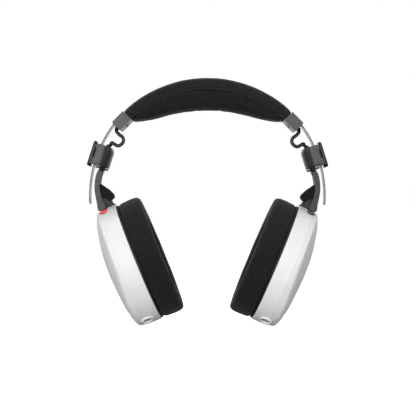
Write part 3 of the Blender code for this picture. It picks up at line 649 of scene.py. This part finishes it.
make("headband_cover_fabric", loft(rings + list(reversed(hollow)), loop=True), WORLD, "cover_fabric", "headband", ["headband_cover"], smooth=60)

# Two rows of stitches, just above the seam.
stitches = []
for y0, e0 in ((-1.012, 1.9), (1.012, 1.9)):
    count = 46
    for k in range(count):
        a = -BAND_HALF_ANGLE + 2.2 + (2 * BAND_HALF_ANGLE - 4.4) * (k + 0.5) / count
        ends = [Vector(radial(a + d, SEAM_R + e0, y0 * BAND_HALF_WIDTH)) for d in (-0.58, -0.35, 0, 0.35, 0.58)]
        lift = Vector((0, 0.18 if y0 > 0 else -0.18, 0))
        ends = [p + lift * w for p, w in zip(ends, (-1.1, 0.3, 1.0, 0.3, -1.1))]
        stitches.append(tube(ends, 0.24, 6))
make("cover_stitches", joined(stitches), WORLD, "cover_fabric", "headband", smooth=60, mat=THREAD)

# --- headband cushion ---------------------------------------------------------------
UNDER = ((-1.0, 0.06), (-1.02, 0.22), (-1.025, 0.45), (-0.98, 0.7), (-0.86, 0.86), (-0.62, 0.955), (-0.3, 0.99), (0, 1.0), (0.3, 0.99), (0.62, 0.955), (0.86, 0.86), (0.98, 0.7), (1.025, 0.45), (1.02, 0.22), (1.0, 0.06), (0.93, 0.0), (0.5, 0.0), (0, 0.0), (-0.5, 0.0), (-0.93, 0.0))
section = even(catmull([(y * 16.7, e * 12, 0) for y, e in UNDER], 5, closed=True), 64)
rings = []
STN = 96
top_r = SEAM_R - 0.2 - GAP
for k in range(STN + 1):
    a = -BAND_HALF_ANGLE + 2 * BAND_HALF_ANGLE * k / STN
    under = smooth_table(CUSHION_UNDER, abs(a))
    deep = top_r - under
    room = min(0.55, 0.16 * deep)
    rings.append([radial(a, top_r - room * 0.4 - (deep - room * 1.3) * max(0.0, q.y / 12), q.x * (1 - room / 17)) for q in section])
cushion = to_object("headband_cushion_fabric", loft(rings), WORLD)


def keep_band(co):
    r = np.hypot(co[:, 0], co[:, 2] - BAND_CENTRE_Z * MM)
    most = (SEAM_R - 0.2) * MM
    scale = np.where(r > most, most / r, 1.0)
    co = co.copy()
    co[:, 0] *= scale
    co[:, 2] = BAND_CENTRE_Z * MM + (co[:, 2] - BAND_CENTRE_Z * MM) * scale
    # the crown of the head rests at the origin
    co[:, 1] = np.clip(co[:, 1], -17.6 * MM, 17.6 * MM)
    return co


inflate(cushion, 4.0, 0.75, keep_band)


def soften(obj, scale, amount, levels=1, lock=None):
    """Subdivides a soft piece and gives it the small unevenness of foam under cloth."""
    mod = obj.modifiers.new("fine", "SUBSURF")
    mod.levels = mod.render_levels = levels
    settle(obj)
    mesh = obj.data
    normals = [v.normal.copy() for v in mesh.vertices]
    for v, n in zip(mesh.vertices, normals):
        p = v.co * 1000
        if lock and lock(p):
            continue
        v.co += n * (wobble(p, scale, amount, 1.7) + wobble(p, scale * 3.1, amount * 0.35, 5.3)) * MM
    mesh.shade_smooth()
    mesh.update()
    return obj


soften(cushion, 0.07, 0.22, lock=lambda p: math.hypot(p.x, p.z - BAND_CENTRE_Z) > SEAM_R - 1.0)
finish_piece(cushion, "cushion_fabric", "headband", ["headband_cushion"])

stitches = []
for y0 in (-1, 1):
    line = [Vector(radial(-BAND_HALF_ANGLE + 2 * BAND_HALF_ANGLE * k / 120, SEAM_R - 0.25, y0 * 16.35)) for k in range(121)]
    stitches.append(tube(line, 0.42, 8))
make("headband_seam_cord", joined(stitches), WORLD, "cover_fabric", "headband", smooth=60, mat=THREAD)

# --- ear cushion, simulated once and mirrored ----------------------------------------
PROFILE = [
    ((PAD_A - 0.9, PAD_B - 0.9), PAD_TOP), ((PAD_A + 0.1, PAD_B + 0.1), PAD_TOP - 0.5), ((PAD_A + 0.5, PAD_B + 0.5), PAD_TOP - 2.0), ((PAD_A + 0.7, PAD_B + 0.7), -8.0), ((PAD_A + 0.8, PAD_B + 0.8), -12.5),
    ((PAD_A + 0.45, PAD_B + 0.45), PAD_FACE + 3.9), ((PAD_A - 0.6, PAD_B - 0.6), PAD_FACE + 1.6), ((PAD_A - 2.4, PAD_B - 2.4), PAD_FACE + 0.35), ((PAD_A - 6.4, PAD_B - 6.4), PAD_FACE), ((PAD_A - 10.0, PAD_B - 10.5), PAD_FACE - 0.1),
    ((PAD_IN_A + 4.6, PAD_IN_B + 4.8), PAD_FACE + 0.1), ((PAD_IN_A + 2.2, PAD_IN_B + 2.2), PAD_FACE + 0.9), ((PAD_IN_A + 0.7, PAD_IN_B + 0.7), PAD_FACE + 2.7), ((PAD_IN_A, PAD_IN_B), PAD_FACE + 6.0), ((PAD_IN_A + 0.1, PAD_IN_B + 0.1), -8.0), ((PAD_IN_A + 0.4, PAD_IN_B + 0.4), PAD_TOP - 1.2), ((PAD_IN_A + 1.4, PAD_IN_B + 1.4), PAD_TOP),
]
AROUND, SECTION = 132, 56
pts = [(r[0], h, r[1]) for r, h in PROFILE]
flat_top = [Vector((PAD_IN_A + 1.4 + (PAD_A - 2.8 - PAD_IN_A) * k / 4, PAD_TOP, PAD_IN_B + 1.4 + (PAD_B - 2.8 - PAD_IN_B) * k / 4)) for k in range(1, 4)]
ring_profile = even(catmull(pts, 6)[:-1] + [Vector(pts[-1])] + flat_top, SECTION)
rings = []
for q in ring_profile:
    rings.append([(q.x * math.cos(2 * math.pi * k / AROUND), q.z * math.sin(2 * math.pi * k / AROUND), q.y) for k in range(AROUND)])
pad_bm = loft(rings, loop=True)
bmesh.ops.recalc_face_normals(pad_bm, faces=pad_bm.faces)
if pad_bm.calc_volume(signed=True) < 0:
    bmesh.ops.reverse_faces(pad_bm, faces=pad_bm.faces)
pad_bm.normal_update()
for v in pad_bm.verts:
    if v.co.z < PAD_TOP - 0.3:
        v.co -= v.normal * 0.45
pad_bm.transform(Matrix.Scale(MM, 4))
pad_mesh = bpy.data.meshes.new("pad_source")
pad_bm.to_mesh(pad_mesh)
pad_bm.free()
pad_source = bpy.data.objects.new("pad_source", pad_mesh)
scene.collection.objects.link(pad_source)


def keep_pad(co):
    co = co.copy()
    co[:, 2] = np.clip(co[:, 2], (PAD_FACE - 0.5) * MM, PAD_TOP * MM)
    return co


inflate(pad_source, 4.0, 0.7, keep_pad)
# The seams run round at fixed points of the section. The cloth is pulled in along them.
seam_at = {}
for label, target in (("outer", (PAD_A - 5.2, PAD_FACE)), ("inner", (PAD_IN_A + 1.3, PAD_FACE + 1.8)), ("back", (PAD_A + 0.1, PAD_TOP - 1.0))):
    seam_at[label] = min(range(SECTION), key=lambda j: (ring_profile[j].x - target[0]) ** 2 + (ring_profile[j].y - target[1]) ** 2)
mod = pad_source.modifiers.new("fine", "SUBSURF")
mod.levels = mod.render_levels = 1
settle(pad_source)
fine = pad_source.data
fine.update()
base = np.empty(len(fine.vertices) * 3)
fine.vertices.foreach_get("co", base)
base = base.reshape(-1, 3) * 1000
normal = np.empty(len(fine.vertices) * 3)
fine.vertices.foreach_get("normal", normal)
normal = normal.reshape(-1, 3)
theta = np.arctan2(base[:, 1] / PAD_B, base[:, 0] / PAD_A)
move = np.zeros(len(base))
seam_paths = {}
for label, j in seam_at.items():
    q = ring_profile[j]
    tx, ty = q.x * np.cos(theta), q.z * np.sin(theta)
    far = np.sqrt((base[:, 0] - tx) ** 2 + (base[:, 1] - ty) ** 2 + (base[:, 2] - q.y) ** 2)
    depth, width = {"outer": (0.7, 1.2), "inner": (0.75, 1.2), "back": (0.25, 0.9)}[label]
    near = np.minimum(far, 30)
    move -= depth * np.exp(-((near / width) ** 2))
    # gathers: short creases that run away from the seam
    phase = 61 * theta + 2.1 * np.sin(7 * theta) + 1.3 * np.sin(13 * theta + 1.0)
    crease = np.clip(np.sin(phase), 0, 1) ** 2 * (0.55 + 0.45 * np.sin(5 * theta + 2.0))
    move -= {"outer": 0.20, "inner": 0.26, "back": 0.10}[label] * crease * np.exp(-((near - 2.2) / 2.4) ** 2)
for i in range(len(base)):
    p = base[i]
    move[i] += 0.28 * noise.noise(Vector(p * 0.055)) + 0.10 * noise.noise(Vector(p * 0.16) + Vector((9, 2, 4)))
move[base[:, 2] > PAD_TOP - 0.5] = 0
base += normal * move[:, None]
base[:, 2] = np.minimum(base[:, 2], PAD_TOP)
fine.vertices.foreach_set("co", (base / 1000).reshape(-1))
fine.shade_smooth()
fine.update()


def seam_line(label, drop=0.35):
    q = ring_profile[seam_at[label]]
    before, after = ring_profile[seam_at[label] - 1], ring_profile[(seam_at[label] + 1) % SECTION]
    d = Vector((after.x - before.x, after.y - before.y)).normalized()
    inward = Vector((-d.y, d.x))
    if inward.dot(Vector(((PAD_A + PAD_IN_A) / 2 - q.x, (PAD_TOP + PAD_FACE) / 2 - q.y))) < 0:
        inward = -inward
    line = []
    for k in range(AROUND * 2):
        t = 2 * math.pi * k / (AROUND * 2)
        line.append(((q.x + inward.x * drop) * math.cos(t), (q.z + inward.x * drop) * math.sin(t), q.y + inward.y * drop))
    return line


# --- both sides -------------------------------------------------------------------
for side, flip in FLIPS.items():
    sign = 1 if side == "right" else -1
    head, slide, lever_body, yoke_body, cup_body = "headband", f"slider_{side}", f"lock_lever_{side}", f"yoke_{side}", f"cup_{side}"
    cap, sld, cup, wld = flip @ CAP, flip @ SLIDER, flip @ CUP, flip

    # Ear cushion
    pad = bpy.data.objects.new(f"ear_pad_{side}", pad_source.data.copy())
    scene.collection.objects.link(pad)
    pad.data.transform(Matrix.Translation(cup.translation * MM) @ cup.to_3x3().to_4x4())
    if side == "left":
        pad.data.flip_normals()
    pad.data.update()
    finish_piece(pad, "cushion_fabric", cup_body, [f"ear_cushion_{side}"])
    cords = [tube(seam_line("outer", 0.55), 0.30, 8, closed=True), tube(seam_line("inner", 0.5), 0.28, 8, closed=True)]
    make(f"ear_pad_seam_{side}", joined(cords), cup, "cushion_fabric", cup_body, smooth=60, mat=THREAD)

    # End cap: chamfered block, slot, lead hole and screw well, with a parting groove round it
    hl = CAP_LENGTH / 2
    grooves = []
    for zc in (CAP_OUT, CAP_IN):
        grooves.append((slab(-hl + 2.1, -hl + 2.5, -CAP_HALF_WIDTH - 1, CAP_HALF_WIDTH + 1, zc - 0.22, zc + 0.5) if zc > 0 else slab(-hl + 2.1, -hl + 2.5, -CAP_HALF_WIDTH - 1, CAP_HALF_WIDTH + 1, zc - 0.5, zc + 0.22), cap))
    for y in (-1, 1):
        y0, y1 = sorted((y * (CAP_HALF_WIDTH - 0.22), y * (CAP_HALF_WIDTH + 1)))
        grooves.append((slab(-hl + 2.1, -hl + 2.5, y0, y1, CAP_IN - 1, CAP_OUT + 1), cap))
    outline = [(-hl, CAP_IN), (hl - 1.1, CAP_IN), (hl, CAP_IN + 1.1), (hl, CAP_OUT - 0.8), (hl - 0.8, CAP_OUT), (-hl, CAP_OUT)]
    make(f"end_cap_body_{side}", prism(outline, -CAP_HALF_WIDTH, CAP_HALF_WIDTH), cap, "grey_metal", head, [f"end_cap_{side}"],
         cuts=[(slab(-9, 9, -10.4, 10.4, 2.35, 4.75), cap), (rod((hl - 4.5, 0, 0.4), (1, 0, 0), 8, LEAD_R + GAP, 28), cap), (oriented(plug([(1.5, 0), (1.5, 4.4), (2.7, 4.4), (2.7, 9)], n=28), (-1.0, 0, 1.6), (0, 0, -1)), cap), *grooves],
         bevel=0.85, segments=5)
    dome = plug([(1.2, 0), (1.2, 4.35), (2.38, 4.4), (2.38, 5.1), (2.1, 5.55), (1.5, 5.85), (0.7, 5.95)], n=28)
    make(f"end_cap_screw_head_{side}", oriented(dome, (-1.0, 0, 1.3), (0, 0, -1)), cap, "bright_steel", head, [f"end_cap_screw_{side}"],
         cuts=[(slab(-2.5, 0.5, -0.27, 0.27, -6, -3.6), cap), (slab(-1.27, -0.73, -1.5, 1.5, -6, -3.6), cap)], bevel=0.06, segments=2)

    # Captive lead
    route = [CAP @ Vector((hl - 3.2, 0, 0.4)), CAP @ Vector((hl + 0.6, 0, 0.4))]
    route += [Vector(p) for p in ((-73.0, -0.3, -16.9), (-70.8, -0.7, -19.6), (-68.3, -1.0, -21.5), (-67.3, -1.2, -24.2), (-68.7, -1.3, -27.1), (-71.6, -1.2, -28.6), (-74.3, -0.9, -27.5), (-76.6, -0.6, -26.2))]
    route += [SLIDER @ Vector((-10.4, -0.2, -7.4)), SLIDER @ Vector((-8.6, 0, -6.4)), SLIDER @ Vector((-5.4, 0, -6.2))]
    line = even(catmull(route, 12), 110, closed=False)
    lead = to_object(f"captive_lead_{side}", tube(line, LEAD_R, 20), wld)
    lead.data.shade_smooth()
    lead.data.set_sharp_from_angle(angle=rad(40))
    lead.data.materials.append(MATERIALS["lead_rubber"])
    a = flip @ Vector((-70.1, 0, -11.9))
    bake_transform(lead)
    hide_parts(f"short_lead_{side}")
    # ribbed sleeves where the lead leaves the end cap and enters the slider
    rib = [(LEAD_R + 0.05, 0)]
    for k in range(3):
        rib += [(2.15 - 0.14 * k, 0.15 + k * 0.8), (2.15 - 0.14 * k, 0.55 + k * 0.8), (LEAD_R + 0.28, 0.7 + k * 0.8), (LEAD_R + 0.28, 0.85 + k * 0.8)]
    rib += [(LEAD_R + 0.05, 2.6)]
    make(f"lead_sleeve_upper_{side}", oriented(turned(rib, n=28), (hl - 0.9, 0, 0.4), (1, 0, 0)), cap, "lead_rubber", head, bevel=0.06, segments=2)

    # Slider block
    def d_section(u, inset=0.0, depth=SLIDER_IN, out=SLIDER_OUT, width=SLIDER_HALF_WIDTH, flat=-3.5, n=40):
        pts = [(u, -width + 1.0 + inset, out - inset), (u, -width + 0.3 + inset, out - 0.3 - inset), (u, -width + inset, out - 1.0 - inset)]
        for k in range(n + 1):
            b = math.pi - math.pi * k / n
            pts.append((u, (width - inset) * math.cos(b), flat + (depth + inset - flat) * math.sin(b)))
        pts += [(u, width - inset, out - 1.0 - inset), (u, width - 0.3 - inset, out - 0.3 - inset), (u, width - 1.0 - inset, out - inset)]
        return pts

    hs = SLIDER_LEN / 2
    # the block: rounded shoulders towards the top, and a thin groove above its lower edge
    profile = [(-hs, 0.7, 2.2), (-hs + 0.2, 0.3, 1.9), (-hs + 0.6, 0.0, 1.5), (-hs + 1.2, 0, 1.05), (-hs + 2.0, 0, 0.55), (-hs + 3.0, 0, 0.15), (-hs + 4.0, 0, 0), (hs - 2.35, 0, 0), (hs - 2.25, 0.28, 0), (hs - 1.95, 0.28, 0), (hs - 1.85, 0, 0), (hs - 0.6, 0, 0), (hs - 0.2, 0.2, 0), (hs, 0.6, 0)]
    rings = [d_section(u, inset, SLIDER_IN + back) for u, inset, back in profile]
    make(f"slider_block_{side}", loft(rings), sld, "grey_metal", slide, [f"slider_housing_{side}"],
         cuts=[(slab(-9, 9, -10.4, 10.4, -1.5, 0.8), sld), (slab(-6.0, 1.0, -6.3, 6.3, -3.0, -1.2), sld), (rod((SCREW_U, 0, 0.2), (0, 0, 1), 4, 1.6, 28), sld),
               (rod((2.0, 0, SWIVEL_W), (1, 0, 0), 9, 3.5, 32), sld), (rod((-4.6, 0, -6.2), (-1, 0, 0), 9, LEAD_R + GAP, 28), sld)], smooth=28)
    rings = [d_section(u, i, SLIDER_IN, -1.9, 13.4) for u, i in ((hs + GAP, 0.5), (hs + GAP + 0.25, 0.2), (hs + GAP + 1.25, 0.2), (hs + GAP + 1.55, 0.35), (hs + GAP + 1.7, 0.7))]
    make(f"slider_foot_plate_{side}", loft(rings), sld, "grey_metal", slide, [f"slider_end_plate_{side}"],
         cuts=[(rod((hs - 1, 0, SWIVEL_W), (1, 0, 0), 5, POST_R + GAP, 32), sld)] + [(rod((hs + 0.9, y, -6.0), (1, 0, 0), 3, 0.9, 20), sld) for y in (-9, 9)], smooth=28)
    make(f"lead_sleeve_lower_{side}", oriented(turned(rib, n=28), (-hs + 0.9, 0, -6.2), (-1, 0, 0)), sld, "lead_rubber", slide, bevel=0.06, segments=2)

    # Lock lever
    hw, hb = LEVER_WIDTH / 2, LEVER_LEN / 2
    quarter = [(hb - 2.5 + 2.5 * math.sin(rad(90 * k / 10)), -hw + 2.5 - 2.5 * math.cos(rad(90 * k / 10))) for k in range(11)]
    outline = quarter + [(x, -y) for x, y in reversed(quarter)]
    outline += [(-x, y) for x, y in reversed(outline)]

    def lever_ring(w, inset):
        return [(LEVER_U + x * (1 - inset / hb), y * (1 - inset / hw), w) for x, y in outline]

    top = LEVER_W + LEVER_THICK
    steps = [(LEVER_W, 0.55), (LEVER_W + 0.15, 0.2), (LEVER_W + 0.5, 0), (top - 0.85, 0), (top - 0.4, 0.18), (top - 0.12, 0.5), (top, 0.95), (top - 0.02, 1.25), (top - 0.32, 1.6), (top - 0.36, 2.4)]
    ribs = [(oriented(plug([(0.34, -4.0), (0.34, 4.0)], n=12), (LEVER_U + u, 0, top - 0.36), (0, 1, 0)), sld) for u in (-7.2, -5.9, -4.6, 5.0, 6.3, 7.6)]
    make(f"lever_{side}", loft([lever_ring(w, i) for w, i in steps]), sld, "dark_metal", lever_body, [f"lock_lever_{side}"],
         joins=[(oriented(plug([(3.4, 0), (3.5, 0.3), (4.2, 1.6)], n=36), (SCREW_U, 0, SLIDER_OUT + GAP), (0, 0, 1)), sld), (slab(LEVER_U + hb - 2.4, LEVER_U + hb + 0.2, -3.6, 3.6, LEVER_W - 0.9, LEVER_W + 0.6), sld), *ribs],
         cuts=[(rod((SCREW_U, 0, 0.5), (0, 0, 1), LEVER_W + 1.2, 1.6, 28), sld)], smooth=28)
    hub = plug([(2.5, 0), (2.5, 0.35), (2.25, 0.6), (1.6, 0.66), (1.5, 0.35), (0.5, 0.33)], n=36)
    make(f"lever_hub_{side}", oriented(hub, (SCREW_U, 0, top - 0.37), (0, 0, 1)), sld, "bright_steel", lever_body, smooth=28)

    # Yoke
    top_pt = SLIDER @ Vector((11.3, 0, SWIVEL_W))
    centre = ((top_pt.x, top_pt.z, 1.9), (-86.4, -51.8, 2.1), (-87.5, -57.4, 2.15), (-87.7, -63.1, 2.2), (-86.8, -68.7, 2.3), (-85.6, -73.2, 2.55), (-84.7, -76.2, 3.0))
    mids = catmull([(x, z, w) for x, z, w in centre], 6)
    lefts, rights = [], []
    for i, m in enumerate(mids):
        ahead = mids[min(i + 1, len(mids) - 1)] - mids[max(i - 1, 0)]
        d = Vector((ahead.x, 0, ahead.y)).normalized()
        side_dir = Vector((d.z, 0, -d.x))
        p = Vector((m.x, 0, m.y))
        lefts.append(p + side_dir * m.z)
        rights.append(p - side_dir * m.z)
    foot = []
    for k in range(25):
        a = rad(200 - 220 * k / 24)
        foot.append(CUP @ Vector((PIVOT_S + 2.5 * abs(math.sin(a)) ** 0.45 * (1 if math.sin(a) > 0 else -1), 0, PIVOT_H - 3.4 * math.cos(a))))
    if (foot[0] - lefts[-1]).length > (foot[-1] - lefts[-1]).length:
        foot.reverse()
    leg = [(p.x, p.z) for p in lefts + foot + list(reversed(rights))]
    web = catmull([Vector((x, 0, z)) for x, z in ((-88.0, -60.2), (-86.2, -58.6), (-84.6, -59.5), (-82.3, -61.1), (-78.9, -63.4), (-76.1, -66.0), (-74.6, -67.7), (-74.15, -69.7))], 4)
    under = []
    for k in range(25):
        a = rad(14 + (100 - 14) * k / 24)
        under.append(CUP @ Vector((PIVOT_S - WEB_R * math.sin(a), 0, PIVOT_H - WEB_R * math.cos(a))))
    web_outline = [(p.x, p.z) for p in web + under] + [(-87.6, -66.5), (-88.6, -63.2)]
    bar = [SLIDER @ Vector((u, 0, w)) for u, w in ((10.75, SWIVEL_W - 2.3), (10.75, SWIVEL_W + 2.3), (13.0, SWIVEL_W + 2.1), (13.0, SWIVEL_W - 2.1))]
    make(f"fork_{side}", rounded(prism(leg, LEG_Y_IN, LEG_Y_OUT), 1.6), wld, "yoke_paint", yoke_body, [f"yoke_{side}"],
         joins=[(rounded(prism(leg, -LEG_Y_OUT, -LEG_Y_IN), 1.6), wld), (rounded(prism([(p.x, p.z) for p in bar], -LEG_Y_OUT + 0.3, LEG_Y_OUT - 0.3), 0.6, 3), wld), (rod((12.0, 0, SWIVEL_W), (-1, 0, 0), 9.2, POST_R, 32), sld)],
         cuts=[(rod((PIVOT[0], y * (LEG_Y_IN - 0.5), PIVOT[1]), (0, y, 0), 3.4, PIN_R + GAP, 28), wld) for y in (-1, 1)], smooth=40)
    cheek = [CUP @ Vector((PIVOT_S - 7.6 * math.sin(rad(14 + 86 * k / 24)), 0, PIVOT_H - 7.6 * math.cos(rad(14 + 86 * k / 24)))) for k in range(25)]
    cheek_outline = [(p.x, p.z) for p in web + cheek] + [(-87.6, -66.5), (-88.6, -63.2)]
    # the web takes the darker copy of the yoke paint, painted shade where it sits back between the legs
    make(f"fork_web_{side}", rounded(prism(web_outline, -LEG_Y_IN - 0.4, LEG_Y_IN + 0.4), 0.5, 3), wld, "yoke_paint", yoke_body,
         joins=[(prism(cheek_outline, *sorted((y * 4.95, y * (LEG_Y_IN + 0.1)))), wld) for y in (-1, 1)], smooth=40, mat=YOKE_PAINT_PAINTED_SHADE)

    for name, y in (("front", -1), ("rear", 1)):
        inner, outer = [], []
        for k in range(29):
            a = rad(51 + (129 - 51) * k / 28)
            outer.append((PIVOT_S + min(5.15 * math.sin(a), 4.75), PIVOT_H - 5.15 * math.cos(a)))
            inner.append((PIVOT_S + 2.62, PIVOT_H - 4.9 * math.cos(a)))
        y0, y1 = sorted((y * (LEG_Y_IN + 0.1), y * (LEG_Y_OUT - 0.1)))
        colour = "red_clip" if side == "right" else "grey_clip"
        make(f"side_clip_{name}_{side}", prism(outer + list(reversed(inner)), y0, y1), cup, colour, yoke_body, [f"id_clip_{name}_{side}"], bevel=0.28, segments=3)

    # Cup housing: oval band with a parting groove and a stepped rim
    def oval(inset, h):
        return ((CUP_A - inset, CUP_B - inset), h)

    band = [oval(0.75, 0), oval(0.35, 0.1), oval(0.1, 0.35), oval(0, 0.75), oval(0, 1.9), oval(0.16, 2.0), oval(0.16, 2.25), oval(0, 2.35)]
    band += [oval(0, 5), oval(0, 8), oval(0, 11), oval(0, 12.2), oval(0.02, 12.6), oval(0.10, 12.9), oval(0.26, 13.1), oval(0.36, 13.3), oval(0.41, 13.6), oval(0.47, 14.4), oval(0.54, 15.2), oval(0.62, 15.34), oval(0.74, CUP_DEPTH)]
    band += [oval(7.0, CUP_DEPTH), oval(7.0, CUP_DEPTH - 1.8), ((CUP_A - 4.6, CUP_B - 3.2), CUP_DEPTH - 2.6), ((CUP_A - 4.6, CUP_B - 3.2), 0)]
    sa = rad(SOCKET_DIR)
    s_dir = Vector((math.cos(sa), -math.sin(sa), 0))
    ratio = math.tan(sa) * CUP_B**2 / CUP_A**2
    s_s = CUP_A / math.sqrt(1 + (ratio * CUP_A / CUP_B) ** 2)
    s_at = Vector((s_s, -ratio * s_s, SOCKET_H))
    make(f"cup_shell_{side}", turned(band, n=176), cup, "white_shell", cup_body, [f"cup_housing_{side}"],
         cuts=[(rod((PIVOT_S, y * (LEG_Y_IN - 0.3), PIVOT_H), (0, y, 0), 13, 5.55, 64), cup) for y in (-1, 1)] + [(rod(s_at - s_dir * 9, s_dir, 14, 4.6, 64), cup)], smooth=30)

    # Socket: stepped bezel with a lead-in, and the contact sleeve inside
    make(f"socket_bezel_{side}", oriented(turned([(1.8, -8), (4.3, -8), (4.3, -0.75), (4.2, -0.6), (3.85, -0.6), (3.75, -0.75), (3.75, -3.4), (1.95, -3.4), (1.8, -3.55)], n=64), s_at, s_dir), cup, "socket_grey", cup_body, [f"audio_socket_{side}"], smooth=28)
    make(f"socket_contact_{side}", oriented(turned([(1.25, -7.8), (1.62, -7.8), (1.62, -3.05), (1.5, -2.85), (1.35, -2.85), (1.25, -3.0)], n=40), s_at, s_dir), cup, "bright_steel", cup_body, smooth=28)

    make(f"socket_lip_{side}", oriented(turned([(3.72, -0.55), (3.72, 0.35), (3.82, 0.75), (4.1, 1.02), (4.5, 1.08), (4.95, 0.92), (5.25, 0.5), (5.35, 0.05), (5.35, -0.55)], n=64), s_at, s_dir), cup, "white_shell", cup_body, smooth=40)

    # Domed outer cover, with a finger scoop at its lower end
    SEGS = 176

    def dome(rho, k, drop=0.0):
        a = 2 * math.pi * k / SEGS
        x, y = (CUP_A - 0.9) * rho * math.cos(a), (CUP_B - 0.9) * rho * math.sin(a)
        lean = max(-1.0, min(1.0, x / 30))
        lift = max(0.0, 1 - rho * rho)
        h = DOME_EDGE + DOME_RISE * lift ** (0.675 - (0.28 if lean > 0 else 0.175) * lean)
        t = (x - 25.5 - 13.0 * (y / 22) ** 2) / 12.0
        if 0 < t < 1:
            g = (t / 0.2) ** 2 * (3 - 2 * t / 0.2) if t < 0.2 else (1 - (t - 0.2) / 0.8) ** 1.25
            h -= 3.2 * g * max(0.0, 1 - (y / 30) ** 4) * min(1.0, (1 - rho) / 0.035)
        return (x, y, h - drop)

    rhos = [1.0 - 0.5 * (i / 56) ** 1.6 for i in range(57)] + [0.46, 0.41, 0.35, 0.28, 0.2, 0.12, 0.05]
    shell = [[dome(r, k) for k in range(SEGS)] for r in rhos] + [[(0, 0, DOME_EDGE + DOME_RISE)]]
    rim = [[(*[v * f for v in dome(1.0, k)[:2]], h) for k in range(SEGS)] for f, h in ((0.985, CUP_DEPTH + 0.04), (1.0, CUP_DEPTH + 0.04), (1.003, CUP_DEPTH + 0.2), (1.002, CUP_DEPTH + 0.45))]
    inner = [[(0, 0, DOME_EDGE + DOME_RISE - 1.8)]] + [[(*dome(r, k)[:2], dome(r, k)[2] - 1.6 if r < 0.45 else min(dome(r, k)[2] - 1.6, 20.0)) for k in range(SEGS)] for r in (0.2, 0.42, 0.55, 0.66, 0.75, 0.8)]
    inner += [[(*dome(0.85, k)[:2], CUP_DEPTH + GAP + 0.6) for k in range(SEGS)], [(*dome(0.86, k)[:2], CUP_DEPTH + 0.04) for k in range(SEGS)]]
    bm = loft(list(reversed(shell)) + list(reversed(rim)) + list(reversed(inner)), caps=False)
    make(f"cup_dome_{side}", bm, cup, "white_shell", cup_body, [f"outer_cover_{side}"], smooth=40)

    # Four small grip ribs near the top of the dome
    bumps = []
    for j in range(4):
        x = -41.2 + 1.9 * j
        line = []
        for i in range(15):
            y = -5.2 + 10.4 * i / 14
            rho = math.sqrt((x / (CUP_A - 0.9)) ** 2 + (y / (CUP_B - 0.9)) ** 2)
            lean = max(-1.0, min(1.0, x / 30))
            h = DOME_EDGE + DOME_RISE * max(0.0, 1 - rho * rho) ** (0.675 - 0.175 * lean)
            line.append((x, y, h + 0.02))
        bumps.append(tube(line, lambda t: 0.42 * math.sqrt(max(0.06, 1 - (2 * t - 1) ** 4)), 12))
    make(f"dome_ribs_{side}", joined(bumps), cup, "white_shell", cup_body, smooth=50)

    # Hinge lug
    lug = [(-49.35, 14.2), (-53.0, 14.0)]
    for k in range(31):
        a = rad(76 - 76 * k / 30)
        lug.append((PIVOT_S - LUG_R * math.sin(a), PIVOT_H - LUG_R * math.cos(a)))
    lug += [(PIVOT_S + 0.7, PIVOT_H - 10.2), (-49.35, -0.6)]
    make(f"hinge_{side}", prism(lug, -LEG_Y_IN + 0.6, LEG_Y_IN - 0.6), cup, "black_plastic", cup_body, [f"hinge_lug_{side}"],
         cuts=[(rod((PIVOT_S, -11, PIVOT_H), (0, 1, 0), 22, PIN_R + GAP, 28), cup)], bevel=0.45, segments=3)

    # Clip ring and driver grille
    make(f"pad_ring_{side}", turned([((48.15, 43.15), -0.3), ((35.0, 28.5), -0.3), ((35.0, 28.5), -1.8), ((47.7, 42.7), -1.8), ((48.1, 43.1), -1.6), ((48.3, 43.3), -1.25), ((48.3, 43.3), -0.5)], n=176), cup, "black_plastic", cup_body, [f"cushion_ring_{side}"], smooth=28)
    slots = []
    for k in range(-4, 5):
        reach = 19.5 - abs(k) ** 1.7 * 1.05
        slots.append((slab(k * 3.9 - 0.85, k * 3.9 + 0.85, -reach, -0.9, -3, 1), cup))
        slots.append((slab(k * 3.9 - 0.85, k * 3.9 + 0.85, 0.9, reach, -3, 1), cup))
    make(f"grille_{side}", plug([((34.3, 27.8), -0.4), ((34.6, 28.1), -0.6), ((34.6, 28.1), -1.25), ((34.3, 27.8), -1.5)], n=144), cup, "black_plastic", cup_body, [f"driver_grille_{side}"], cuts=slots, bevel=0.12, segments=2)

mesh = pad_source.data
bpy.data.objects.remove(pad_source, do_unlink=True)
bpy.data.meshes.remove(mesh)

# --- floor --------------------------------------------------------------------------
low = CAD_BOX[0][2]
bm = bmesh.new()
bmesh.ops.create_grid(bm, x_segments=2, y_segments=2, size=6.0)
mesh = bpy.data.meshes.new("floor")
bm.to_mesh(mesh)
bm.free()
floor = bpy.data.objects.new("floor", mesh)
floor.location = (0, 0, low - 0.035)
scene.collection.objects.link(floor)
white = bpy.data.materials.new("floor_white")
white.use_nodes = True
sh = white.node_tree.nodes["Principled BSDF"]
sh.inputs["Base Color"].default_value = (0.92, 0.92, 0.92, 1)
sh.inputs["Roughness"].default_value = 0.9
sh.inputs["Emission Color"].default_value = (1, 1, 1, 1)
sh.inputs["Emission Strength"].default_value = 0.8
floor.data.materials.append(white)
# the floor shows white and throws neither light nor shadow on the object
floor.visible_diffuse = floor.visible_glossy = floor.visible_shadow = False
